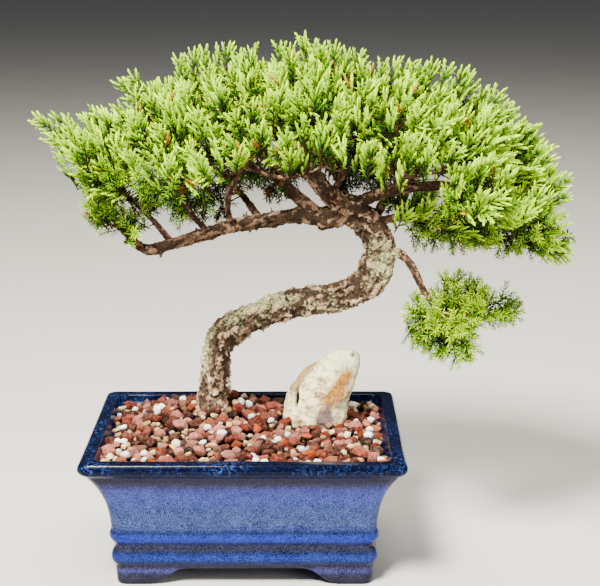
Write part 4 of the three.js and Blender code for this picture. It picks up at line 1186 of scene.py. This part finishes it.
# Long plumes that reach out of the crown and the clump: tip, then foot, in millimetres about the pot.
LEADERS = [
    ((-136, -2, 291.5), (-106, 2, 268)), ((-127, -6, 279.5), (-102, -6, 262)),
    ((-124, 4, 292.5), (-98, 4, 268)), ((-82, 4, 313.5), (-56, 8, 289)),
    ((-75, 2, 318.5), (-52, 6, 290)), ((-42, 8, 329.2), (-36, 8, 294)),
    ((-32, 4, 334.2), (-30, 6, 299)), ((-24, 6, 335.2), (-24, 6, 300)),
    ((-17, 4, 336.2), (-17, 6, 301)), ((-10, 6, 337.2), (-11, 6, 302)), ((-3, 4, 333.2), (-1, 6, 298)),
    ((4, 4, 332.5), (5, 6, 296)), ((23, 6, 337.5), (24, 6, 301)), ((29, 2, 336.5), (30, 4, 302)),
    ((37, 6, 343.5), (43, 6, 307)), ((50, 2, 337.5), (50, 6, 300)), ((58, 4, 338.5), (57, 6, 301)),
    ((66, 4, 333.5), (64, 6, 297)), ((90, 4, 327.5), (84, 6, 293)), ((104, 8, 326.5), (98, 6, 292)),
    ((115, 4, 325.2), (108, 6, 292)), ((122, 4, 326.5), (112, 6, 292)),
    ((132, 6, 324.5), (120, 4, 292)), ((141, 4, 321.5), (128, 6, 288)),
    ((149, 4, 314.5), (134, 6, 284)), ((156, 4, 310.2), (141, 6, 281)),
    ((165, 4, 308.5), (149, 6, 279)), ((176, 4, 296.5), (156, 6, 272)),
    ((184, 4, 285.5), (163, 6, 264)), ((192, 4, 279.5), (170, 6, 258)),
    ((212, -2, 251.5), (188, 0, 236)), ((210, -6, 242.5), (186, -4, 226)),
    ((213, 4, 214), (186, 0, 216)), ((215, 2, 203), (188, 0, 212)), ((208, -8, 206), (182, -6, 212)),
    ((200, -10, 200), (176, -8, 212)), ((209, 0, 195), (184, -4, 208)),
    ((180, -14, 170), (154, -14, 164)), ((175, -12, 163), (150, -14, 158)),
    ((136, -10, 190), (137, -8, 170)), ((153, -12, 187), (146, -8, 170)),
    ((102, -14, 168), (122, -12, 162)), ((147, -18, 132), (142, -16, 152)),
    ((190, 2, 286.5), (168, 4, 262)), ((198, 2, 273.5), (174, 4, 252)),
    ((200, 0, 266.5), (176, 2, 246)), ((214, -2, 196), (190, 0, 208)), ((146, 4, 320.5), (132, 6, 288)),
    ((169, 4, 301.5), (152, 6, 274)), ((108, -14, 144), (126, -14, 153)),
    ((116, -16, 137), (130, -16, 151)), ((123, -14, 135), (134, -14, 152)),
    ((182, -14, 165), (156, -14, 162)), ((176, -14, 178), (154, -14, 166)), ((6, 4, 336), (7, 6, 302)),
    ((74, 4, 333), (70, 6, 300)), ((98, 6, 328), (91, 6, 294)), ((44, 4, 339), (46, 6, 303)),
    ((48, 4, 334.5), (49, 6, 300)), ((110, 4, 325.5), (104, 6, 292)), ((-46, 6, 314), (-42, 8, 290)),
    ((-94, 2, 293), (-74, 4, 270)),
]
# The crown's left edge, as height and x: no tip goes further left.
LEFT_EDGE = [
    (216, -99), (227, -100), (240, -97), (250, -95), (260, -98), (268, -104), (278, -121), (291, -136),
]
# Discs of open air round the crown and the clump, as x, height and reach: no plume ends in them.
NOTCHES = [
    (-80, 303, 10), (-46, 325, 6), (15, 335, 9), (95, 153, 9), (165, 149, 10), (178, 154, 6),
    (170, 178, 9), (-85, 214, 10), (72, 252, 9), (88, 250, 11), (103, 248, 9), (103, 150, 7),
]
# Where the shaded young shoots under the crown end: x, y, height, and whether they have died.
SHADED = [
    (-19, 8, 218, 0), (-25, 8, 224, 0), (-12, 8, 222, 0), (-15, 8, 231, 0), (-32, 4, 221, 0),
    (13, 12, 233, 1), (19, 12, 234, 1), (28, 14, 233, 0), (64, 22, 241, 0), (71, 22, 236, 0),
    (78, 20, 239, 0), (84, 20, 235, 0), (91, 18, 239, 0), (74, 20, 246, 0), (67, 24, 249, 0),
    (107, 16, 219, 0), (94, 22, 223, 0), (118, 10, 202, 0), (127, 8, 200, 0), (134, 6, 201, 0),
    (124, 12, 205, 0), (-3, 10, 244, 0), (4, 12, 246, 0), (9, 8, 245, 0), (14, 12, 244, 0),
    (19, 8, 242, 1), (24, 10, 240, 0), (28, 12, 236, 0), (0, 6, 239, 1), (-6, 10, 240, 0),
    (-11, 8, 244, 0), (-15, 6, 238, 0), (-19, 8, 234, 0), (34, 16, 246, 0), (40, 14, 249, 0),
    (48, 16, 252, 0), (56, 18, 252, 0), (-24, 4, 232, 0), (-30, 2, 229, 1), (-36, 0, 228, 0),
    (-41, -2, 231, 0), (-47, -2, 229, 1), (-53, -4, 232, 0), (-59, -4, 234, 0), (-64, -6, 230, 0),
    (-60, -4, 226, 1), (-72, -8, 245, 0), (-77, -8, 241, 0), (111, 6, 211, 0), (117, 6, 208, 0),
    (122, 4, 209, 0), (128, 4, 209, 0), (134, 2, 210, 0), (139, 2, 207, 0), (147, 0, 206, 0),
    (153, -2, 203, 0), (159, -2, 203, 0), (164, -4, 200, 0), (170, -4, 199, 0), (175, -2, 203, 0),
    (181, 0, 205, 0), (187, 0, 203, 0), (194, 0, 203, 0), (202, 0, 203, 0), (206, 2, 199, 0),
    (68, 26, 256, 0), (74, 28, 254, 0), (80, 26, 250, 0), (86, 28, 252, 0), (92, 26, 248, 0),
    (98, 28, 252, 0), (104, 24, 250, 0), (110, 26, 254, 0), (62, 30, 258, 0), (118, 24, 252, 0),
    (76, 24, 244, 0), (88, 24, 244, 0), (34, 10, 264, 0), (36, 12, 256, 0), (42, 10, 250, 0),
    (30, 14, 258, 0), (72, 32, 262, 0), (84, 32, 262, 0), (96, 32, 260, 0), (108, 32, 262, 0),
    (-63, -8, 233, 0), (-61, -8, 228, 0), (-64, -10, 224, 1), (-41, -4, 233, 0), (-38, -4, 228, 0),
    (-35, -2, 224, 0), (-58, -8, 233, 0), (40, 12, 246, 0), (3, 10, 246, 0), (9, 10, 241, 0),
    (92, 14, 233, 0), (97, 14, 229, 0), (110, -14, 144, 0), (115, -14, 141, 0), (121, -14, 138, 0),
    (64, 22, 247, 0), (70, 24, 252, 0), (80, 24, 250, 0), (86, 22, 246, 0), (76, 20, 242, 0),
    (97, 16, 233, 0), (99, 16, 226, 0), (101, 14, 221, 0), (-50, -8, 232, 0), (-45, -6, 234, 0),
    (-37, -6, 224, 0), (-34, -4, 221, 1),
]


def cord_shape(name, seed):
    """A cord of scale leaves that stands on its origin and bends to +X, with buds to both sides."""
    dice = random.Random(seed)
    bend = dice.uniform(0.08, 0.24)
    points, faces, ripe_and_shade = [], [], []

    def axis(share):
        return Vector((bend * share * share, 0, share)) * SHOOT_LENGTH

    rings = [(0.02, 0.55), (0.2, 0.78), (0.38, 0.84), (0.56, 0.8), (0.74, 0.72), (0.9, 0.54)]
    for i, (share, radius) in enumerate(rings):
        wide, deep = (1.16, 0.84) if i % 2 else (0.84, 1.16)
        for x, y in ((wide, 0), (0, deep), (-wide, 0), (0, -deep)):
            points.append(axis(share) + Vector((x, y, 0)) * radius * dice.uniform(0.9, 1.1))
            # Painted shade and light: ring points that lie back between the scale leaves are a little
            # darker, those that stand out a little lighter.
            ripe_and_shade.append(0.05 + 0.9 * share + (0.09 if i % 2 == (x != 0) else -0.03))
    points.append(axis(1))
    ripe_and_shade.append(1.0)
    for i in range(len(rings) - 1):
        for k in range(4):
            here, after = 4 * i + k, 4 * i + (k + 1) % 4
            faces += [(here, after, here + 4), (after, after + 4, here + 4)]
    last = 4 * len(rings) - 4
    faces += [(last + k, last + (k + 1) % 4, last + 4) for k in range(4)] + [(3, 2, 1), (3, 1, 0)]
    for k, share in enumerate((0.22, 0.38, 0.54, 0.68)):
        flip = 1 if k % 2 else -1
        lean = dice.uniform(0.5, 0.75)
        way = Vector((math.sin(lean) * flip, dice.uniform(-0.3, 0.3), math.cos(lean))).normalized()
        foot = axis(share)
        first = len(points)
        across = way.cross(Vector((0, 1, 0))).normalized()
        points.extend([foot - across * 0.55, foot + across * 0.55 + way * 0.8, foot + Vector((0, 0.8, 0.5))])
        points.append(foot + way * dice.uniform(3.2, 4.8) * (1.15 - 0.5 * share))
        ripe_and_shade.extend([0.9 * share, 0.1 + 0.9 * share, 0.1 + 0.9 * share, 0.35 + 0.9 * share])
        faces.extend(tuple(first + i for i in face) for face in ((0, 1, 2), (1, 3, 2), (3, 0, 2), (0, 3, 1)))
    return leafy_shape(name, points, faces, ripe_and_shade)


def needle_shape(name, seed):
    """A shoot of young needles that stands on its origin: whorls of three, wide apart, and a tip."""
    dice = random.Random(seed)
    points, faces, ripe_and_shade = [], [], []

    def needle(foot, way, side, long, wide, ripeness_and_shade):
        first = len(points)
        back = way.cross(side)
        points.extend([foot - side * wide / 2, foot + side * wide / 2])
        points.extend([foot + way * long * 0.4 + back * wide * 0.6, foot + way * long])
        # Painted shade: each needle is darker at its foot, where it meets the shoot.
        ripe_and_shade.extend([ripeness_and_shade - 0.15, ripeness_and_shade - 0.15, ripeness_and_shade, ripeness_and_shade + 0.25])
        faces.extend(tuple(first + i for i in face) for face in ((0, 1, 2), (1, 3, 2), (3, 0, 2), (0, 3, 1)))

    up = Vector((0, 0, 1))
    needle(Vector((0, 0, -1)), up, Vector((1, 0, 0)), SHOOT_LENGTH, 1.0, 0.0)
    whorls = 6
    for whorl in range(whorls):
        share = (whorl + 0.5) / whorls
        for k in range(3):
            angle = (whorl + 2 * k) * math.pi / 3 + dice.uniform(-0.25, 0.25)
            out = Vector((math.cos(angle), math.sin(angle), 0))
            splay = dice.uniform(0.85, 1.15) * (1 - 0.45 * share * share)
            way = up * math.cos(splay) + out * math.sin(splay)
            long = dice.uniform(5.2, 7) * (1 - 0.25 * share)
            foot = up * SHOOT_LENGTH * 0.9 * share + out * 0.2
            needle(foot, way, up.cross(out), long, 1.0, 0.3 + 0.35 * share)
    return leafy_shape(name, points, faces, ripe_and_shade)


def leafy_shape(name, points, faces, ripe_and_shade):
    """A shape of foliage: ripeness of each point, 0 at the foot and 1 at the tip, and painted shade."""
    mesh = bpy.data.meshes.new(name)
    mesh.from_pydata([tuple(p * MM) for p in points], [], faces)
    mesh.attributes.new("ripeness_and_shade", "FLOAT", "POINT").data.foreach_set("value", ripe_and_shade)
    return bpy.data.objects.new(name, mesh)


def stem_shape(name):
    """The slim bare stem of a plume: a closed spindle."""
    points = [Vector((0, 0, -0.06))]
    ring = [Vector((math.cos(k * 2.0944), math.sin(k * 2.0944), 0)) for k in range(3)]
    for radius, height in ((0.036, 0.05), (0.022, 0.75)):
        points += [p * radius + Vector((0, 0, height)) for p in ring]
    points.append(Vector((0, 0, 1)))
    faces = []
    for k in range(3):
        here, after = 1 + k, 1 + (k + 1) % 3
        faces += [(0, after, here), (here, after, after + 3)]
        faces += [(here, after + 3, here + 3), (here + 3, after + 3, 7)]
    return leafy_shape(name, [p * SHOOT_LENGTH for p in points], faces, [-0.6] * 4 + [-0.35] * 4)


def tilted(axis, tilt, turn):
    """A way turned by tilt off an axis, and by turn round it."""
    across = Vector((-axis.y, axis.x, 0.01)).cross(axis).normalized()
    across.rotate(Quaternion(axis, turn))
    return (axis * math.cos(tilt) + across * math.sin(tilt)).normalized()


def stood(way, bend_to):
    """The turn that stands a shape along a way, with its bend towards another."""
    side = bend_to - way * bend_to.dot(way)
    side = side.normalized() if side.length > 1e-4 else way.orthogonal().normalized()
    return list(Matrix((side, way.cross(side), way)).transposed().to_euler())


def leaf_finish():
    """Green that ripens along each shoot and differs from spray to spray, with painted light and shade."""
    material, tree, shader = finish("juniper_leaf", Roughness=0.6, **{"Specular IOR Level": 0.05})
    place = place_of(tree)
    ripe_and_shade = told_of(tree, "ripeness_and_shade")
    spray_tone_light_and_shade = told_of(tree, "spray_tone_light_and_shade")
    dead = told_of(tree, "dead")
    patch = span(tree, cloud(tree, place, 9, 2), 0.3, 0.7, -0.1, 0.1)
    tone = sum_of(tree, ripe_and_shade, spray_tone_light_and_shade, patch)
    fresh = ramp(tree, tone, [
        (0.0, "#26160A"), (0.06, "#0A1802"), (0.22, "#183400"), (0.42, "#466A00"), (0.65, "#7AA200"),
        (0.88, "#98C000"), (1.0, "#ACD400"),
    ])
    young = ramp(tree, tone, [
        (0.0, "#26160A"), (0.06, "#0A1A04"), (0.25, "#183C02"), (0.5, "#507A00"), (0.75, "#88AE00"),
        (1.0, "#B6D60C"),
    ])
    young_leaf = told_of(tree, "young_leaf")
    fresh = mix(tree, young_leaf, fresh, young)
    spent = ramp(tree, tone, [(0.0, "#34200A"), (0.5, "#7A5010"), (1.0, "#B08A30")])
    tree.links.new(mix(tree, dead, fresh, spent), shader.inputs["Base Color"])
    return material


leaf_skin = leaf_finish()
shoot_shapes = bpy.data.collections.new("shoot_shapes")
for i in range(CORDS):
    shoot_shapes.objects.link(cord_shape(f"shoot_{i}", 40 + i))
for i in range(NEEDLED):
    shoot_shapes.objects.link(needle_shape(f"shoot_{CORDS + i}", 60 + i))
shoot_shapes.objects.link(stem_shape(f"shoot_{STEM}"))

dice = random.Random(9)
UP = Vector((0, 0, 1))
FORWARD = Vector((0, -1, 0))
leaning = {}
for name, (middle, radius) in tufts.items():
    in_clump = name.startswith("clump")
    away = middle - (CLUMP_MIDDLE if in_clump else CROWN_MIDDLE)
    if not in_clump:
        away = Vector(a / h for a, h in zip(away, CROWN_HALF))
        away.z = max(away.z, 0.05)
    leaning[name] = away.normalized()


def shoot(told, young, foot, way, bend_to, long, wide, tone, dead):
    """Notes one shoot of a plume."""
    told["spots"].append(foot)
    told["sort"].append(CORDS + dice.randrange(NEEDLED) if young else dice.randrange(CORDS))
    told["turn"].append(stood(way, bend_to))
    told["size"].append([wide, wide, long / SHOOT_LENGTH])
    told["spray_tone_light_and_shade"].append(tone)
    told["dead"].append(dead)
    told["young_leaf"].append(float(young))


def bare_stem(told, foot, tip, wide):
    """Notes a slim bare stem between two places."""
    told["spots"].append(foot)
    told["sort"].append(STEM)
    told["turn"].append(stood((tip - foot).normalized(), UP))
    told["size"].append([wide, wide, (tip - foot).length / SHOOT_LENGTH])
    told["spray_tone_light_and_shade"].append(0.0)
    told["dead"].append(0.0)
    told["young_leaf"].append(0.0)


def plume(told, tip, grow, length, young, tone, brown, outward):
    """Notes a plume that ends at its tip: a stem with a flat fan of shoots, and a twig from its wood."""
    foot = tip - grow * length
    flat = grow.cross(outward + Vector((0.01, 0, 0.02))).normalized()
    flat.rotate(Quaternion(grow, dice.gauss(0, 0.6)))
    bare_stem(told, foot, foot + grow * length * 0.8, 1.0)
    bare_stem(told, nearest_wood.find(foot)[0], foot + grow * 2, 1.2)
    count = round(length / (5.5 if young else 3.2))
    for k in range(count):
        share = 0.1 + 0.7 * (k + dice.random() * 0.5) / count
        side = flat * (1 if k % 2 else -1)
        side.rotate(Quaternion(grow, dice.gauss(0, 0.8 if young else 0.34)))
        tilt = dice.uniform(0.6, 1.0) if young else dice.uniform(0.55, 0.85)
        way = grow * math.cos(tilt) + side * math.sin(tilt)
        reach = (15.5 if young else 13.5) - 5 * share
        long = min(reach * dice.uniform(0.8, 1.15), length * (1.02 - share) / math.cos(tilt * 0.8))
        wide = dice.uniform(0.85, 1.1) * (0.9 if young else 1)
        # Painted shade: shoots lower on the plume are darker.
        shade = tone + dice.uniform(-0.06, 0.06) + 0.42 * (share - 0.55)
        dead = float(dice.random() < brown)
        shoot(told, young, foot + grow * length * share, way, grow, long, wide, shade, dead)
    shoot(told, young, foot + grow * (length - 13), grow, flat, 13, 1.0, tone + 0.05, 0.0)


def crown_plume(told, tip, way, axis, young, inner, middle):
    """A plume of the crown or the clump, turned up towards the light where its foot still has cover."""
    if tip.z < 291 and tip.x < 0:
        tip.x = max(tip.x, float(np.interp(tip.z, *zip(*LEFT_EDGE))))
    if any(math.hypot(tip.x - x, tip.z - z) < reach for x, z, reach in NOTCHES):
        return
    length = PLUME_LENGTH * dice.uniform(0.75, 1.05) * (0.72 if inner else 0.85 if young else 1)
    for lift in LIFTS:
        grow = way * (0.75 if young else 0.45) + axis * 0.4 + UP * lift * (0.3 if young else 1)
        grow += Vector((dice.gauss(0, 0.16), dice.gauss(0, 0.16), dice.gauss(0, 0.1)))
        grow = Vector((grow.x, grow.y * (1 if young else 0.7), grow.z)).normalized()
        if (tip - grow * length).z > middle.z - FOOT_DEPTH:
            break
    # Painted light and shade: plumes that point up are lighter and those that point down darker, less so at
    # the left and right ends; inner plumes are darker; plumes of the clump, the low right, the right and the
    # low left are lighter.
    sunk = 0.08 if tip.x < -60 or tip.x > 118 else 0.3
    tone = 0.03 + dice.uniform(-0.14, 0.14) + 0.1 * way.z + sunk * min(way.z, 0) + (-0.36 if inner else 0)
    if tip.z < 200 or (tip.x > 118 and tip.z < 244):
        tone += 0.14
    elif tip.x > 100 or (tip.x < -50 and tip.z < 262):
        tone += 0.07
    plume(told, tip, grow, length, young, tone, 0.1 if inner else 0.01, way)


for row in ("foremost", "front", "ridge", "back", "rearmost", "right", "left", "clump"):
    hanging = row == "clump"
    names = [name for name in tufts if name.split("_")[0] == row]
    told = {key: [] for key in ("spots", "sort", "turn", "size", "spray_tone_light_and_shade", "dead", "young_leaf")}
    for name in names:
        middle, radius = tufts[name]
        axis = leaning[name]
        others = [tuft for key, tuft in tufts.items() if key != name]
        outer = CLUMP_PLUMES if hanging else round(OUTER_PLUMES * FEWER.get(name, 1))
        for k in range(outer):
            widest = 2.6 if hanging else 2.1
            way = tilted((axis + UP * 0.3).normalized(), widest * math.sqrt((k + 0.5) / outer),
                         k * GOLDEN_ANGLE + dice.uniform(-0.25, 0.25))
            tip = middle + way * radius * dice.uniform(0.98, 1.14)
            covered = any((tip - other).length < 0.8 * size for other, size in others)
            under = way.z < OPEN_UNDERNEATH.get(name, -1 if name in LOW_TUFTS else -0.62)
            if covered or under or (not hanging and tip.z < LEFT_LOWEST and tip.x < 0):
                continue
            lowness = 1 if hanging else (288 - tip.z) / 36 if tip.x < -60 else (268 - tip.z) / 50
            crown_plume(told, tip, way, axis, hanging or dice.random() < lowness, False, middle)
        inner = round(INNER_PLUMES.get(row, 7) * FEWER.get(name, 1))
        for k in range(inner):
            turn = k * GOLDEN_ANGLE + dice.uniform(-0.4, 0.4)
            way = tilted(axis, 2.5 * math.sqrt((k + 0.5) / inner), turn)
            if way.z > OPEN_UNDERNEATH.get(name, -1):
                tip = middle + way * radius * dice.uniform(0.6, 0.8)
                crown_plume(told, tip, way, axis, True, True, middle)
        for other, (place, size) in tufts.items():
            if hanging or other <= name or other.startswith("clump") or (place - middle).length > NEIGHBOURS:
                continue
            lean = (axis + leaning[other]).normalized()
            across = lean.cross(place - middle).normalized()
            for k in (-1, 0, 1):
                tip = (middle + place) / 2 + lean * radius * dice.uniform(0.84, 1.02)
                tip += across * (12 * k) + (place - middle) * dice.uniform(-0.12, 0.12)
                hidden = row == "foremost" and other.startswith("foremost") and tip.z < middle.z + 8
                if (lean.z > 0.1 or tip.z > middle.z) and not hidden:
                    crown_plume(told, tip, lean, lean, dice.random() < (258 - tip.z) / 50, False, middle)
    for tip, foot in LEADERS:
        tip, foot = Vector(tip), Vector(foot)
        if min(tufts, key=lambda key: (tufts[key][0] - foot).length) in names:
            grow = (tip - foot).normalized()
            plume(told, tip, grow, (tip - foot).length * 0.95, hanging, 0.05, 0.0, FORWARD)
    for x, y, z, died in SHADED if row == "rearmost" else []:
        grow = Vector((dice.uniform(-0.5, 0.5), -0.4, -0.5)).normalized()
        # Painted shade and light: these shoots are painted dark as shade under the crown, and less dark
        # towards the right and left ends.
        shade = dice.uniform(-0.48, -0.28) + (0.44 if x > 98 else 0.18 if x < -30 else 0)
        length = dice.uniform(16, 22)
        plume(told, Vector((x, y, z)), grow, length, True, shade, float(died), FORWARD)
    spots = placed(told.pop("spots"))
    bunch = f"foliage_{'hanging' if hanging else row}"
    leaves = strewn(bunch, spots, shoot_shapes, leaf_skin, told)
    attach(leaves, "root")
    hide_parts(*[f"foliage_{name}" for name in names])
